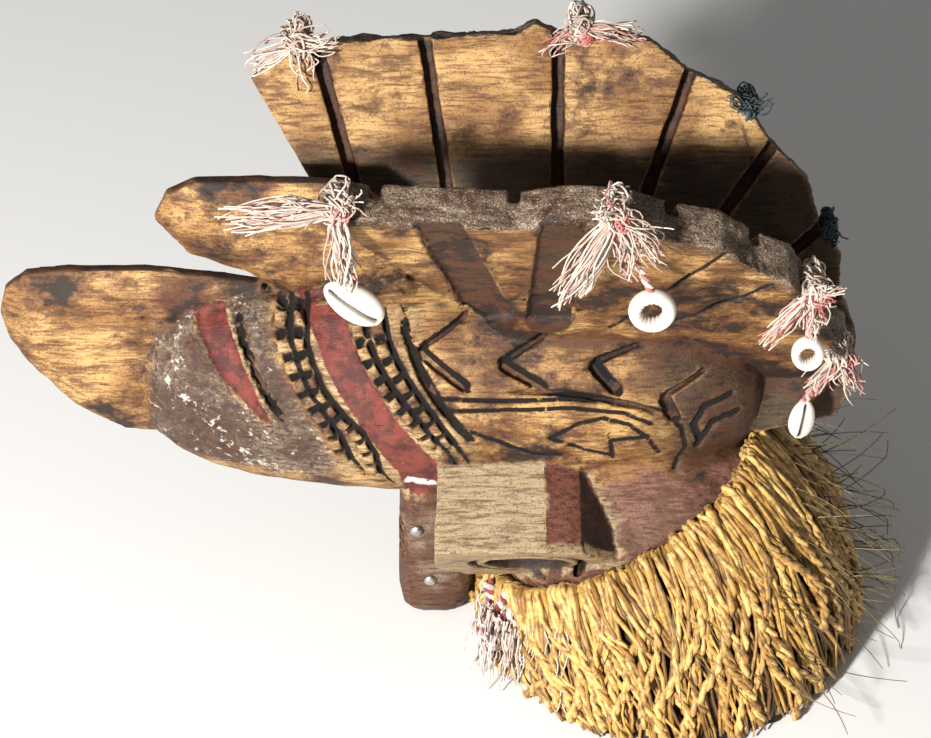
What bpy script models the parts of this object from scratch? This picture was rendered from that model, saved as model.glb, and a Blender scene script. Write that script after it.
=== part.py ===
# A small carved headdress head in the Nimba manner, in metres, +Z up, nose towards -X.
# One wooden carving carries a raffia ruff, its cord, cotton tassels, cowries and tack heads.
import math

import bmesh
import bpy
from mathutils import Matrix, Vector

NAME = "nimba_headdress"
GAP = 0.0003  # clearance between pieces that touch

# Head: an egg shape lying along X, about its own middle
SNOUT_LENGTH = 0.144  # from the widest place to the tip of the snout
NAPE_LENGTH = 0.096  # from the widest place to the nape
WIDEST_X = 0.019
HEAD_HALF_WIDTH = 0.0377
HEAD_HALF_HEIGHT = 0.0477
HEAD_Z = -0.0038
SNOUT_WIDTH_POWER = 2.27
SNOUT_HEIGHT_POWER = 3.1
NAPE_POWER = 2.8
HEAD_SIDES = 32
HEAD_RINGS = 20

# Where the head stands: height of the head's frame above the ground
STANDING_HEIGHT = 0.1150

# Nose and forehead tongues: upright blades on the middle plane. Their outlines are given behind
# the tip, and down from the top as a share of the height
NOSE_LENGTH = 0.052  # beyond the snout
NOSE_TOP = 0.0490
NOSE_HEIGHT = 0.079
NOSE_THICKNESS = 0.0125
NOSE_OUTLINE = (
    (0.0000, 0.26), (0.0025, 0.12), (0.0110, 0.03), (0.0270, 0.00), (0.0600, 0.00), (0.1000, 0.08),
    (0.1000, 0.86), (0.0640, 1.00), (0.0450, 0.97), (0.0270, 0.82), (0.0130, 0.62), (0.0035, 0.42),
)
TONGUE_REACH = 0.0795  # from the far crest's foot forward to the tip
TONGUE_TOP = 0.0900
TONGUE_HEIGHT = 0.050
TONGUE_THICKNESS = 0.0125
TONGUE_OUTLINE = (
    (0.0000, 0.34), (0.0050, 0.12), (0.0160, 0.01), (0.0400, 0.00), (0.0715, 0.02), (0.0945, 0.30),
    (0.0945, 1.35), (0.0560, 1.20), (0.0340, 0.84), (0.0120, 0.66),
)
BLADE_EDGE = 0.0042  # thickness at a blade's edge
BLADE_SHOULDER = 0.88  # share of the thickness where the face rounds over, and of the outline there
BLADE_SHOULDER_INSET = 0.72
BLADE_FACE_INSET = 0.42  # share of the outline where the full thickness starts

# Crests: two fans that lean outwards
CREST_LEAN = math.radians(26)
CREST_THICKNESS = 0.0165
CREST_FOOT_Y = 0.0154
CREST_FOOT_Z = 0.035
FAN_CENTRE_X = 0.0308
FAN_CENTRE_Z = 0.0038
FAN_END_ANGLE = -9.0
FAN_END_DROP = 0.004
STRAIGHT_ANGLE = 96.0  # past it the rim runs straight to the front tip
STRAIGHT_SPAN = 36.0  # degrees of rim that the straight run stands for
SCALLOP = 0.0018
# Where a crest's foot is sunk in the head: from the nape's end and the head's middle, and the
# last place from the front foot and the head's middle
NAPE_FOOT = ((-0.004, -0.016), (-0.020, 0.0), (-0.050, 0.016))
FRONT_FOOT_STEP = (0.008, 0.024)
CREST_GROOVE_WIDTH = 0.0048
CREST_GROOVE_DEPTH = 0.0055
CREST_GROOVE_LENGTH = 0.074
SHORT_GROOVE_ANGLE = 40.0  # grooves up to this angle are shorter
SHORT_GROOVE = 0.75
UPRIGHT_ANGLE = 88.0  # the groove here stands upright, and the others spread from it
SPREAD_FRONT = 0.40
SPREAD_REAR = 0.82
STRAP_WIDTH = 0.017
STRAP_DEPTH = 0.0022
CUT_CLEAR = 0.004  # how far a cutter stands out of the wood
CUT_START = 0.010  # how far a groove's cutter starts outside the rim
STRAP_START = 0.020
# A front tip is given by its angle and its distance as a share of the radius
CRESTS = {
    "near": {
        "side": -1,
        "radius": 0.1135,
        "tip": ((124.7, 1.2506),),
        "front_foot": (0.017, CREST_FOOT_Z),
        "grooves": (123.0, 97.0, 67.0, 48.0, 32.0, 17.0, 4.0),
        "straps": ((-0.0173, 0.0105, 0.124, 0.050), (0.0365, 0.0310, 0.124, 0.050)),
    },
    "far": {
        "side": 1,
        "radius": 0.1165,
        "tip": ((138.4, 1.2829), (130.3, 1.2515)),
        "front_foot": (-0.037, CREST_FOOT_Z),
        "grooves": (129.0, 111.0, 88.0, 62.0, 42.0, 25.0, 13.0),
        "straps": ((-0.0300, -0.0020, 0.124, 0.050), (0.0300, 0.0245, 0.124, 0.050)),
    },
}

# Ears: eight-sided tubes that point outwards and down
EAR_X = 0.0238
EAR_HALF_WIDTH = 0.0355
EAR_TILT = math.radians(50)  # from straight down, outwards
EAR_ROOT_Y = 0.0043
EAR_ROOT_Z = -0.0199
EAR_LENGTH = 0.0577
EAR_BORE = 0.0320  # the oval bore, along X
EAR_BORE_SHARE = 0.74  # its other width
EAR_BORE_DEPTH = 0.022
EAR_BORE_SIDES = 20
EAR_BORE_CLEAR = 0.010
EAR_TAPER = 0.94  # the root's section as a share of the end's
EAR_RING_WIDTH = 0.0030
EAR_RING_WALL = 0.0036  # wood between the bore and the ring groove
EAR_RING_DEPTH = 0.0022
EAR_CORNERS = (
    (-1.00, 0.62), (0.19, 0.70), (0.57, 0.56), (1.00, 0.05),
    (0.84, -0.46), (0.20, -0.70), (-0.66, -0.68), (-1.00, -0.26),
)

# Chin block under the middle of the jaw
CHIN_X = -0.0120
CHIN_LENGTH = 0.0290
CHIN_WIDTH = 0.0310
CHIN_SIDES = 16
CHIN_SQUARE = 0.55  # 1 for an oval, less for a squarer section
# Height above the ground, and the section's size as a share: it stands on a small flat
CHIN_LEVELS = ((0.0, 0.45), (0.0020, 0.74), (0.0062, 0.93), (0.0130, 1.0), (0.0400, 0.98), (0.0800, 0.92))
CHIN_NOTCHES = 5
CHIN_NOTCH = 0.0022
CHIN_NOTCH_PITCH = 0.0046
CHIN_NOTCH_REACH = 0.006
CHIN_NOTCH_WIDTH = 0.0279
CHIN_NOTCH_TOP = 0.012  # under the head

# Neck: an oval tube that leans back, open below
NECK_LEAN = math.radians(30.3)
NECK_RIM_X = 0.0655
NECK_RIM_Z = -0.0620
NECK_RIM_LONG = 0.0560  # half length of the rim, front to back
NECK_RIM_WIDE = 0.0500  # half width of the rim
NECK_SQUARE = 0.80  # 1 for an oval, less for a squarer section
NECK_TOP_LONG = 0.0440
NECK_TOP_WIDE = 0.0320
NECK_LENGTH = 0.0520
NECK_BAND = 0.0100  # height of the upright band at the rim
NECK_SHOULDER = 0.0220
NECK_WALL = 0.0110
NECK_HOLLOW_DEPTH = 0.030
NECK_HOLLOW_END = 0.62  # the hollow's section at its end, as a share
NECK_HOLLOW_CLEAR = 0.020
NECK_SIDES = 28

# Raffia ruff and its cord
RUFF_X = 0.0815
RUFF_HALF_LENGTH = 0.0750
RUFF_HALF_WIDTH = 0.0900
RUFF_WALL = 0.0120
RUFF_BULGE = 0.0085  # at the back
RUFF_BULGE_SIDE = 0.65  # the bulge at the sides, as a share
RUFF_TOP = 0.0010  # height of its top edge above the neck's rim
RUFF_COLLAR = 0.0055  # thickness of the raffia over the neck's rim
RUFF_SIDES = 40
RUFF_RINGS = 5
RUFF_FLUTE = 0.0014
RUFF_FLUTE_FROM = 0.33  # share of the height by which the flutes have their full depth
CORD_DIAMETER = 0.0034

# Relief on the head's flanks
BEAD_WIDTH = 0.0042
BEAD_LENGTH = 0.0062
BEAD_NOTCH = 0.0016
BEAD_HEIGHT = 0.0016
BEAD_ROOT = 0.0026
BEAD_DIP = -0.6  # how far the strip dips between beads, as a share of their height
BEAD_RAMP = 0.08  # share of a bead's length that its end takes to rise
BEAD_STEPS = 8
SKIN_SWELL = 1.12  # a route over the skin is longer than in side view
CUT_DEPTH = 0.0038
CUT_END = 0.6  # how blunt a long cut's end is, in steps
CUT_LEAST = 0.5  # the least depth at its end, as a share
EYE_WIDTH = 0.0042
PANEL_GROOVE = 0.0030
CHEVRON_WIDTH = 0.0050

# Routes over a flank, as distance along X and height in side view
BEAD_ROWS = (
    ((-0.0690, 0.0395), (-0.0700, 0.0327), (-0.0669, 0.0239), (-0.0623, 0.0138),
     (-0.0558, 0.0035), (-0.0504, -0.0064), (-0.0462, -0.0187)),
    ((-0.0630, 0.0400), (-0.0630, 0.0287), (-0.0573, 0.0142), (-0.0496, 0.0040),
     (-0.0419, -0.0037), (-0.0373, -0.0149), (-0.0358, -0.0255)),
    ((-0.0419, 0.0388), (-0.0400, 0.0319), (-0.0369, 0.0253), (-0.0304, 0.0155),
     (-0.0200, 0.0026), (-0.0123, -0.0087)),
    ((-0.0345, 0.0400), (-0.0318, 0.0309), (-0.0285, 0.0246), (-0.0227, 0.0158),
     (-0.0131, 0.0019), (-0.0069, -0.0085)),
)
EYE_ROUTE = ((-0.0854, 0.0330), (-0.0842, 0.0280), (-0.0819, 0.0222), (-0.0781, 0.0135), (-0.0696, 0.0006))
BAND_ROUTE = ((-0.0238, 0.0400), (-0.0219, 0.0325), (-0.0173, 0.0232), (-0.0096, 0.0102), (0.0019, -0.0053))
PANEL_ROUTE = ((0.0019, 0.0140), (0.0315, 0.0156), (0.0519, 0.0121), (0.0727, 0.0056), (0.0842, -0.0053))
CHEVRONS = (
    ((0.0008, 0.0395), (-0.0173, 0.0297), (0.0008, 0.0167)),
    ((0.0350, 0.0372), (0.0131, 0.0259), (0.0300, 0.0168)),
    ((0.0655, 0.0306), (0.0477, 0.0256), (0.0577, 0.0146)),
    ((0.0908, 0.0193), (0.0746, 0.0116), (0.0800, 0.0012)),
)

# Tassels on the crests: the crest, the place along its rim in degrees, the size, and the shell
# tied into the threads
TASSEL_LENGTH = 0.022
TASSEL_WIDTH = 0.011
TASSEL_HEIGHT = 0.0055
STRING_DIAMETER = 0.0034
STRING_STAND = 0.8  # how far the string starts outside the crest, in diameters
TASSELS = {
    "tassel_far_front": ("far", 133.0, 1.25, None),
    "tassel_far_middle": ("far", 84.0, 1.15, None),
    "tassel_far_rear": ("far", 50.0, 0.65, None),
    "tassel_far_nape": ("far", 24.0, 0.50, None),
    "tassel_near_front": ("near", 130.0, 1.20, "cowrie_near_front"),
    "tassel_near_middle": ("near", 80.0, 1.05, "cowrie_near_middle"),
    "tassel_near_rear": ("near", 32.0, 0.80, "cowrie_near_rear"),
    "tassel_near_nape": ("near", 9.0, 0.75, "cowrie_near_nape"),
}
# Length, width, thickness, whether it is cut to a ring, and how it hangs from the rim's outer edge
SHELLS = {
    "cowrie_near_front": (0.0255, 0.0160, 0.0110, False, (0.0060, 0.0080, -0.0300)),
    "cowrie_near_middle": (0.0180, 0.0175, 0.0080, True, (0.0170, 0.0060, -0.0320)),
    "cowrie_near_rear": (0.0150, 0.0125, 0.0070, True, (0.0000, 0.0065, -0.0190)),
    "cowrie_near_nape": (0.0180, 0.0110, 0.0085, False, (-0.0150, 0.0105, -0.0210)),
}

SHELL_HOLE = 0.27  # radius of a cut shell's hole, as a share of its width
SLIT_SIZE = (0.16, 0.50, 0.78)  # of the width, the thickness and the length
SLIT_PLACE = 0.55  # of the thickness, in front of the middle

TACK_DIAMETER = 0.0052
TACK_HEIGHT = 0.0015
TACK_SIDES = 10
TACKS = ((-0.0192, -0.0680), (-0.0085, -0.0800), (-0.0140, -0.0935))

MATERIALS = {
    "carved_wood": ((0.32, 0.19, 0.08, 1.0), 0.62, 0.0),
    "raffia": ((0.55, 0.36, 0.12, 1.0), 0.70, 0.0),
    "cotton_cord": ((0.48, 0.16, 0.12, 1.0), 0.85, 0.0),
    "cotton_thread": ((0.78, 0.70, 0.62, 1.0), 0.90, 0.0),
    "shell": ((0.86, 0.83, 0.78, 1.0), 0.25, 0.0),
    "tack_metal": ((0.60, 0.60, 0.58, 1.0), 0.35, 1.0),
}


def clear_scene():
    for item in list(bpy.data.objects):
        bpy.data.objects.remove(item, do_unlink=True)


def collection(name):
    group = bpy.data.collections.new(name)
    bpy.context.scene.collection.children.link(group)
    return group


def material(name):
    found = bpy.data.materials.get(name)
    if found:
        return found
    colour, roughness, metallic = MATERIALS[name]
    made = bpy.data.materials.new(name)
    made.use_nodes = True
    shader = made.node_tree.nodes["Principled BSDF"]
    shader.inputs["Base Color"].default_value = colour
    shader.inputs["Roughness"].default_value = roughness
    shader.inputs["Metallic"].default_value = metallic
    made.diffuse_color = colour
    return made


def mesh_object(name, shape, group, finish=None):
    mesh = bpy.data.meshes.new(name)
    bmesh.ops.recalc_face_normals(shape, faces=shape.faces)
    shape.to_mesh(mesh)
    shape.free()
    made = bpy.data.objects.new(name, mesh)
    group.objects.link(made)
    if finish:
        mesh.materials.append(material(finish))
    return made


def loft(rings, closed_loop=False):
    # Joins rings of equal count, and closes both ends unless the rings run in a loop
    shape = bmesh.new()
    rows = [[shape.verts.new(point) for point in ring] for ring in rings]
    count = len(rows[0])
    pairs = list(zip(rows, rows[1:]))
    if closed_loop:
        pairs.append((rows[-1], rows[0]))
    for first, second in pairs:
        for i in range(count):
            j = (i + 1) % count
            shape.faces.new((first[i], first[j], second[j], second[i]))
    if not closed_loop:
        shape.faces.new(rows[0])
        shape.faces.new(list(reversed(rows[-1])))
    return shape


def combine(target, cutter, operation):
    # Applies one Boolean to the target's mesh and removes the cutter
    step = target.modifiers.new("combine", "BOOLEAN")
    step.operation = operation
    step.solver = "EXACT"
    step.object = cutter
    bpy.context.view_layer.update()
    graph = bpy.context.evaluated_depsgraph_get()
    result = bpy.data.meshes.new_from_object(target.evaluated_get(graph))
    target.modifiers.remove(step)
    target.data = result
    bpy.data.objects.remove(cutter, do_unlink=True)


def outline_object(name, outline, half, group):
    # A flat plate with the given outline, in its own plane
    shape = bpy.data.curves.new(name, "CURVE")
    shape.dimensions = "2D"
    shape.fill_mode = "BOTH"
    shape.extrude = half
    spline = shape.splines.new("POLY")
    spline.points.add(len(outline) - 1)
    for point, (x, y) in zip(spline.points, outline):
        point.co = (x, y, 0.0, 1.0)
    spline.use_cyclic_u = True
    source = bpy.data.objects.new(name, shape)
    group.objects.link(source)
    bpy.context.view_layer.update()
    graph = bpy.context.evaluated_depsgraph_get()
    mesh = bpy.data.meshes.new_from_object(source.evaluated_get(graph))
    bpy.data.objects.remove(source, do_unlink=True)
    welded = bmesh.new()
    welded.from_mesh(mesh)
    bpy.data.meshes.remove(mesh)
    bmesh.ops.remove_doubles(welded, verts=welded.verts, dist=0.00001)
    return mesh_object(name, welded, group)


def bake_place(item):
    item.data.transform(item.matrix_world)
    item.matrix_world = Matrix.Identity(4)


def head_section(x):
    # Half width and half height of the head at a place along X
    if x < WIDEST_X:
        share = (WIDEST_X - x) / SNOUT_LENGTH
        width_power, height_power = SNOUT_WIDTH_POWER, SNOUT_HEIGHT_POWER
    else:
        share = (x - WIDEST_X) / NAPE_LENGTH
        width_power, height_power = NAPE_POWER, NAPE_POWER
    share = min(share, 1.0)
    half_width = HEAD_HALF_WIDTH * (1.0 - share ** width_power) ** (1.0 / width_power)
    half_height = HEAD_HALF_HEIGHT * (1.0 - share ** height_power) ** (1.0 / height_power)
    return half_width, half_height


def flank(x, z, side):
    # The point of the head's skin at a place in side view, with its outward direction
    half_width, half_height = head_section(x)
    rise = max(-0.999, min(0.999, (z - HEAD_Z) / half_height))
    y = side * half_width * math.sqrt(1.0 - rise * rise)
    step = 0.001
    ahead_width, ahead_height = head_section(x + step)
    here = (y / half_width) ** 2 + rise ** 2
    ahead = (y / ahead_width) ** 2 + ((z - HEAD_Z) / ahead_height) ** 2
    slope = (ahead - here) / step
    normal = Vector((slope, 2.0 * y / half_width ** 2, 2.0 * rise / half_height))
    return Vector((x, y, z)), normal.normalized()


def curve_points(points, count):
    # Even steps along a smooth line through the given points
    dense = []
    padded = [points[0]] + list(points) + [points[-1]]
    for a, b, c, d in zip(padded, padded[1:], padded[2:], padded[3:]):
        for i in range(12):
            t = i / 12
            dense.append(tuple(
                0.5 * (2 * q + (r - p) * t + (2 * p - 5 * q + 4 * r - s) * t * t
                       + (3 * q - p - 3 * r + s) * t ** 3)
                for p, q, r, s in zip(a, b, c, d)))
    dense.append(tuple(points[-1]))
    reach = [0.0]
    for p, q in zip(dense, dense[1:]):
        reach.append(reach[-1] + math.dist(p, q))
    result = []
    k = 0
    for i in range(count):
        goal = reach[-1] * i / (count - 1)
        while k < len(reach) - 2 and reach[k + 1] < goal:
            k += 1
        span = max(reach[k + 1] - reach[k], 1e-9)
        t = (goal - reach[k]) / span
        result.append(tuple(p + (q - p) * t for p, q in zip(dense[k], dense[k + 1])))
    return result, reach[-1]


def strip(stations):
    # A closed strip of four-sided sections: place, along, outward, width, top and root heights
    rings = []
    for place, along, outward, width, top, root in stations:
        across = along.cross(outward).normalized() * (width / 2)
        low = place - outward * root
        high = place + outward * top
        rings.append((low - across, low + across, high + across, high - across))
    return loft(rings)


def skin_frames(route, side, count):
    flat, length = curve_points(route, count)
    found = [flank(x, z, side) for x, z in flat]
    frames = []
    for i, (place, outward) in enumerate(found):
        before = found[max(i - 1, 0)][0]
        after = found[min(i + 1, count - 1)][0]
        frames.append((place, (after - before).normalized(), outward))
    return frames, length


def bead_row(route, side, group):
    # A row of small blocks: the strip dips under the skin between them
    length = curve_points(route, 3)[1]
    pitch = BEAD_LENGTH + BEAD_NOTCH
    beads = max(3, round(length * SKIN_SWELL / pitch))
    frames, _ = skin_frames(route, side, beads * BEAD_STEPS + 1)
    notch = BEAD_NOTCH / pitch
    marks = []
    for i in range(beads):
        marks += [(i + notch, BEAD_DIP), (i + notch + BEAD_RAMP, 1.0)]
        marks += [(i + 1.0 - BEAD_RAMP, 1.0), (i + 0.999, BEAD_DIP)]
    stations = []
    for mark, top in marks:
        step = round(mark * BEAD_STEPS)
        place, along, outward = frames[min(step, len(frames) - 1)]
        beyond = (mark - step / BEAD_STEPS) * pitch
        place = place + along * beyond
        stations.append((place, along, outward, BEAD_WIDTH, top * BEAD_HEIGHT, BEAD_ROOT))
    return mesh_object("bead_row", strip(stations), group)


def skin_cut(route, side, width, group, count=9):
    # A cutter for a groove that follows the skin: a long one is narrow at both ends
    frames, _ = skin_frames(route, side, count)
    stations = []
    for i, (place, along, outward) in enumerate(frames):
        fade = math.sin(math.pi * (i + CUT_END) / (count - 1 + 2 * CUT_END)) if len(route) > 2 else 1.0
        stations.append((place, along, outward, width * fade, CUT_DEPTH, CUT_DEPTH * max(fade, CUT_LEAST)))
    return mesh_object("skin_cut", strip(stations), group)


def head_body(group):
    rings = []
    for i in range(HEAD_RINGS + 1):
        t = i / HEAD_RINGS
        sweep = math.sin(math.pi * (t - 0.5)) * 0.9985
        x = WIDEST_X + (sweep * SNOUT_LENGTH if sweep < 0 else sweep * NAPE_LENGTH)
        half_width, half_height = head_section(x)
        ring = []
        for k in range(HEAD_SIDES):
            turn = 2 * math.pi * (k + 0.5) / HEAD_SIDES
            ring.append((x, half_width * math.cos(turn), HEAD_Z + half_height * math.sin(turn)))
        rings.append(ring)
    return mesh_object("carved_head", loft(rings), group, "carved_wood")


def blade(outline, thickness, group):
    # An upright blade on the middle plane: thin at its edge, swelling to its thickness inside
    middle = Vector((sum(p[0] for p in outline), sum(p[1] for p in outline))) / len(outline)
    half = thickness / 2
    sections = [(half, BLADE_FACE_INSET), (half * BLADE_SHOULDER, BLADE_SHOULDER_INSET), (BLADE_EDGE / 2, 1.0)]
    sections = [(-y, inset) for y, inset in sections] + sections[::-1]
    rings = []
    for y, inset in sections:
        ring = []
        for x, z in outline:
            flat = middle + (Vector((x, z)) - middle) * inset
            ring.append((flat.x, y, flat.y))
        rings.append(ring)
    return mesh_object("blade", loft(rings), group)


def nose_outline():
    tip_x = WIDEST_X - SNOUT_LENGTH - NOSE_LENGTH
    return [(tip_x + x, NOSE_TOP - z * NOSE_HEIGHT) for x, z in NOSE_OUTLINE]


def tongue_outline():
    tip_x = CRESTS["far"]["front_foot"][0] - TONGUE_REACH
    return [(tip_x + x, TONGUE_TOP - z * TONGUE_HEIGHT) for x, z in TONGUE_OUTLINE]


def rim_point(crest, angle, extra=0.0):
    # A place on a crest's rim in side view
    turn = math.radians(angle)
    radius = crest["radius"] + extra
    return FAN_CENTRE_X + radius * math.cos(turn), FAN_CENTRE_Z + radius * math.sin(turn)


def crest_tip(crest):
    # The front tip's corners, which move with the crest's radius
    return [rim_point(crest, angle, crest["radius"] * (share - 1.0)) for angle, share in crest["tip"]]


def rim_at(crest, angle):
    # The rim's place in side view, on the arc or on the straight line to the front tip
    if angle <= STRAIGHT_ANGLE:
        return rim_point(crest, angle)
    top = rim_point(crest, STRAIGHT_ANGLE)
    far_end = crest_tip(crest)[-1]
    share = min((angle - STRAIGHT_ANGLE) / STRAIGHT_SPAN, 1.0)
    return top[0] + (far_end[0] - top[0]) * share, top[1] + (far_end[1] - top[1]) * share


def crest_outline(crest):
    # Side view of a crest: front tip, scalloped rim, nape, and a foot sunk in the head
    outline = crest_tip(crest)
    marks = sorted((a for a in crest["grooves"] if a < STRAIGHT_ANGLE), reverse=True)
    stops = [STRAIGHT_ANGLE] + marks + [FAN_END_ANGLE]
    for start, end in zip(stops, stops[1:]):
        outline.append(rim_point(crest, start, -SCALLOP))
        steps = 3 if start - end > 20 else 2
        for i in range(1, steps):
            outline.append(rim_point(crest, start + (end - start) * i / steps, SCALLOP))
    outline.append(rim_point(crest, FAN_END_ANGLE, -FAN_END_DROP))
    nape_x = WIDEST_X + NAPE_LENGTH
    outline += [(nape_x + x, HEAD_Z + z) for x, z in NAPE_FOOT]
    foot_x, foot_z = crest["front_foot"]
    outline += [(foot_x + FRONT_FOOT_STEP[0], HEAD_Z + FRONT_FOOT_STEP[1]), (foot_x, foot_z)]
    return outline


def crest_height(z):
    # Height along the leaning plate for a height in side view
    return (z - CREST_FOOT_Z) / math.cos(CREST_LEAN)


def crest_matrix(crest):
    side = crest["side"]
    turn = math.pi / 2 - side * CREST_LEAN
    place = Matrix.Translation((0.0, side * CREST_FOOT_Y, CREST_FOOT_Z))
    return place @ Matrix.Rotation(turn, 4, "X")


def crest_point(crest, x, z, outward):
    # A point of the crest's plate in space, at a distance outwards from its middle
    local = Vector((x, crest_height(z), -crest["side"] * outward))
    return crest_matrix(crest) @ local


def plate(outline, group):
    # A plate of the crest's thickness, in the crest's own plane
    return outline_object("plate", [(x, crest_height(z)) for x, z in outline], CREST_THICKNESS / 2, group)


def bar(start, end, width, floor, outward, group):
    # A straight cutter in the plate's own plane, from a floor's level outwards
    along = Vector(end) - Vector(start)
    middle = (Vector(start) + Vector(end)) / 2
    top = outward * (CREST_THICKNESS / 2 + CUT_CLEAR)
    shape = bmesh.new()
    bmesh.ops.create_cube(shape, size=1.0)
    bmesh.ops.scale(shape, vec=(along.length, width, abs(top - floor)), verts=shape.verts)
    turn = Matrix.Rotation(math.atan2(along.y, along.x), 3, "Z")
    bmesh.ops.rotate(shape, cent=(0.0, 0.0, 0.0), matrix=turn, verts=shape.verts)
    bmesh.ops.translate(shape, vec=(middle.x, middle.y, (top + floor) / 2), verts=shape.verts)
    return mesh_object("bar", shape, group)


def groove_direction(angle):
    spread = SPREAD_FRONT if angle > UPRIGHT_ANGLE else SPREAD_REAR
    return 90.0 + (angle - UPRIGHT_ANGLE) * spread


def crest_body(crest, group):
    half = CREST_THICKNESS / 2
    outer = -crest["side"]  # the local direction that points outwards
    body = plate(crest_outline(crest), group)
    for angle in crest["grooves"]:
        x, z = rim_at(crest, angle)
        turn = math.radians(groove_direction(angle))
        reach = Vector((math.cos(turn), math.sin(turn) / math.cos(CREST_LEAN)))
        middle = Vector((x, crest_height(z)))
        length = CREST_GROOVE_LENGTH * (1.0 if angle > SHORT_GROOVE_ANGLE else SHORT_GROOVE)
        floor = -outer * (half - CREST_GROOVE_DEPTH)
        start = middle + reach * CUT_START
        end = middle - reach * length
        cutter = bar(start, end, CREST_GROOVE_WIDTH, floor, -outer, group)
        combine(body, cutter, "DIFFERENCE")
    for top_x, foot_x, top_z, foot_z in crest["straps"]:
        start = (top_x, crest_height(top_z) + STRAP_START)
        end = (foot_x, crest_height(foot_z))
        cutter = bar(start, end, STRAP_WIDTH, outer * (half - STRAP_DEPTH), outer, group)
        combine(body, cutter, "DIFFERENCE")
    body.matrix_world = crest_matrix(crest)
    bake_place(body)
    return body


def ear_frame(side):
    axis = Vector((0.0, side * math.sin(EAR_TILT), -math.cos(EAR_TILT)))
    top = Vector((0.0, side * math.cos(EAR_TILT), math.sin(EAR_TILT)))
    root = Vector((EAR_X, side * EAR_ROOT_Y, EAR_ROOT_Z))
    return root, axis, top


def ear_ring(side, corners, along):
    root, axis, top = ear_frame(side)
    return [root + axis * along + Vector((x, 0.0, 0.0)) + top * y for x, y in corners]


def ear_body(side, group):
    corners = [(x * EAR_HALF_WIDTH, y * EAR_HALF_WIDTH) for x, y in EAR_CORNERS]
    inner = [(x * EAR_TAPER, y * EAR_TAPER) for x, y in corners]
    rings = [ear_ring(side, inner, 0.0), ear_ring(side, corners, EAR_LENGTH)]
    return mesh_object("ear", loft(rings), group)


def ear_oval(side, width, along):
    # An oval ring across an ear
    half = width / 2
    turns = [2 * math.pi * (k + 0.5) / EAR_BORE_SIDES for k in range(EAR_BORE_SIDES)]
    corners = [(half * math.cos(turn), half * EAR_BORE_SHARE * math.sin(turn)) for turn in turns]
    return ear_ring(side, corners, along)


def ear_cutters(side, group):
    bore = loft([ear_oval(side, EAR_BORE, EAR_LENGTH - EAR_BORE_DEPTH),
                 ear_oval(side, EAR_BORE, EAR_LENGTH + EAR_BORE_CLEAR)])
    inside = EAR_BORE + 2 * EAR_RING_WALL
    outside = inside + 2 * EAR_RING_WIDTH
    low = EAR_LENGTH - EAR_RING_DEPTH
    high = EAR_LENGTH + CUT_CLEAR
    ring = loft([ear_oval(side, inside, low), ear_oval(side, outside, low),
                 ear_oval(side, outside, high), ear_oval(side, inside, high)], closed_loop=True)
    return [mesh_object("ear_bore", bore, group), mesh_object("ear_ring_cut", ring, group)]


def chin_ring(z, share):
    ring = []
    for k in range(CHIN_SIDES):
        turn = 2 * math.pi * (k + 0.5) / CHIN_SIDES
        x = math.copysign(abs(math.cos(turn)) ** CHIN_SQUARE, math.cos(turn)) * CHIN_LENGTH / 2 * share
        y = math.copysign(abs(math.sin(turn)) ** CHIN_SQUARE, math.sin(turn)) * CHIN_WIDTH / 2 * share
        ring.append((CHIN_X + x, y, z))
    return ring


def chin_body(group):
    rings = [chin_ring(rise - STANDING_HEIGHT, share) for rise, share in CHIN_LEVELS]
    return mesh_object("chin", loft(rings), group)


def chin_cutters(group):
    made = []
    top = HEAD_Z - HEAD_HALF_HEIGHT - CHIN_NOTCH_TOP
    for k in range(CHIN_NOTCHES):
        shape = bmesh.new()
        bmesh.ops.create_cube(shape, size=1.0)
        bmesh.ops.scale(shape, vec=(CHIN_NOTCH_REACH, CHIN_NOTCH_WIDTH, CHIN_NOTCH), verts=shape.verts)
        place = (CHIN_X - CHIN_LENGTH / 2, 0.0, top - k * CHIN_NOTCH_PITCH)
        bmesh.ops.translate(shape, vec=place, verts=shape.verts)
        made.append(mesh_object("chin_notch", shape, group))
    return made


def neck_ring(along, long, wide, sides=NECK_SIDES):
    # A ring across the neck, at a distance above its rim
    axis = Vector((-math.sin(NECK_LEAN), 0.0, math.cos(NECK_LEAN)))
    front = Vector((math.cos(NECK_LEAN), 0.0, math.sin(NECK_LEAN)))
    centre = Vector((NECK_RIM_X, 0.0, NECK_RIM_Z)) + axis * along
    ring = []
    for k in range(sides):
        turn = 2 * math.pi * (k + 0.5) / sides
        ahead = math.copysign(abs(math.cos(turn)) ** NECK_SQUARE, math.cos(turn))
        aside = math.copysign(abs(math.sin(turn)) ** NECK_SQUARE, math.sin(turn))
        ring.append(centre + front * (long * ahead) + Vector((0.0, wide * aside, 0.0)))
    return ring


def neck_body(group):
    rings = [
        neck_ring(0.0, NECK_RIM_LONG, NECK_RIM_WIDE),
        neck_ring(NECK_BAND, NECK_RIM_LONG, NECK_RIM_WIDE),
        neck_ring(NECK_SHOULDER, (NECK_RIM_LONG + NECK_TOP_LONG) / 2, (NECK_RIM_WIDE + NECK_TOP_WIDE) / 2),
        neck_ring(NECK_LENGTH, NECK_TOP_LONG, NECK_TOP_WIDE),
    ]
    return mesh_object("neck", loft(rings), group)


def neck_hollow(group):
    long = NECK_RIM_LONG - NECK_WALL
    wide = NECK_RIM_WIDE - NECK_WALL
    rings = [
        neck_ring(-NECK_HOLLOW_CLEAR, long, wide),
        neck_ring(NECK_BAND, long, wide),
        neck_ring(NECK_HOLLOW_DEPTH, long * NECK_HOLLOW_END, wide * NECK_HOLLOW_END),
    ]
    return mesh_object("neck_hollow", loft(rings), group)


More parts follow.
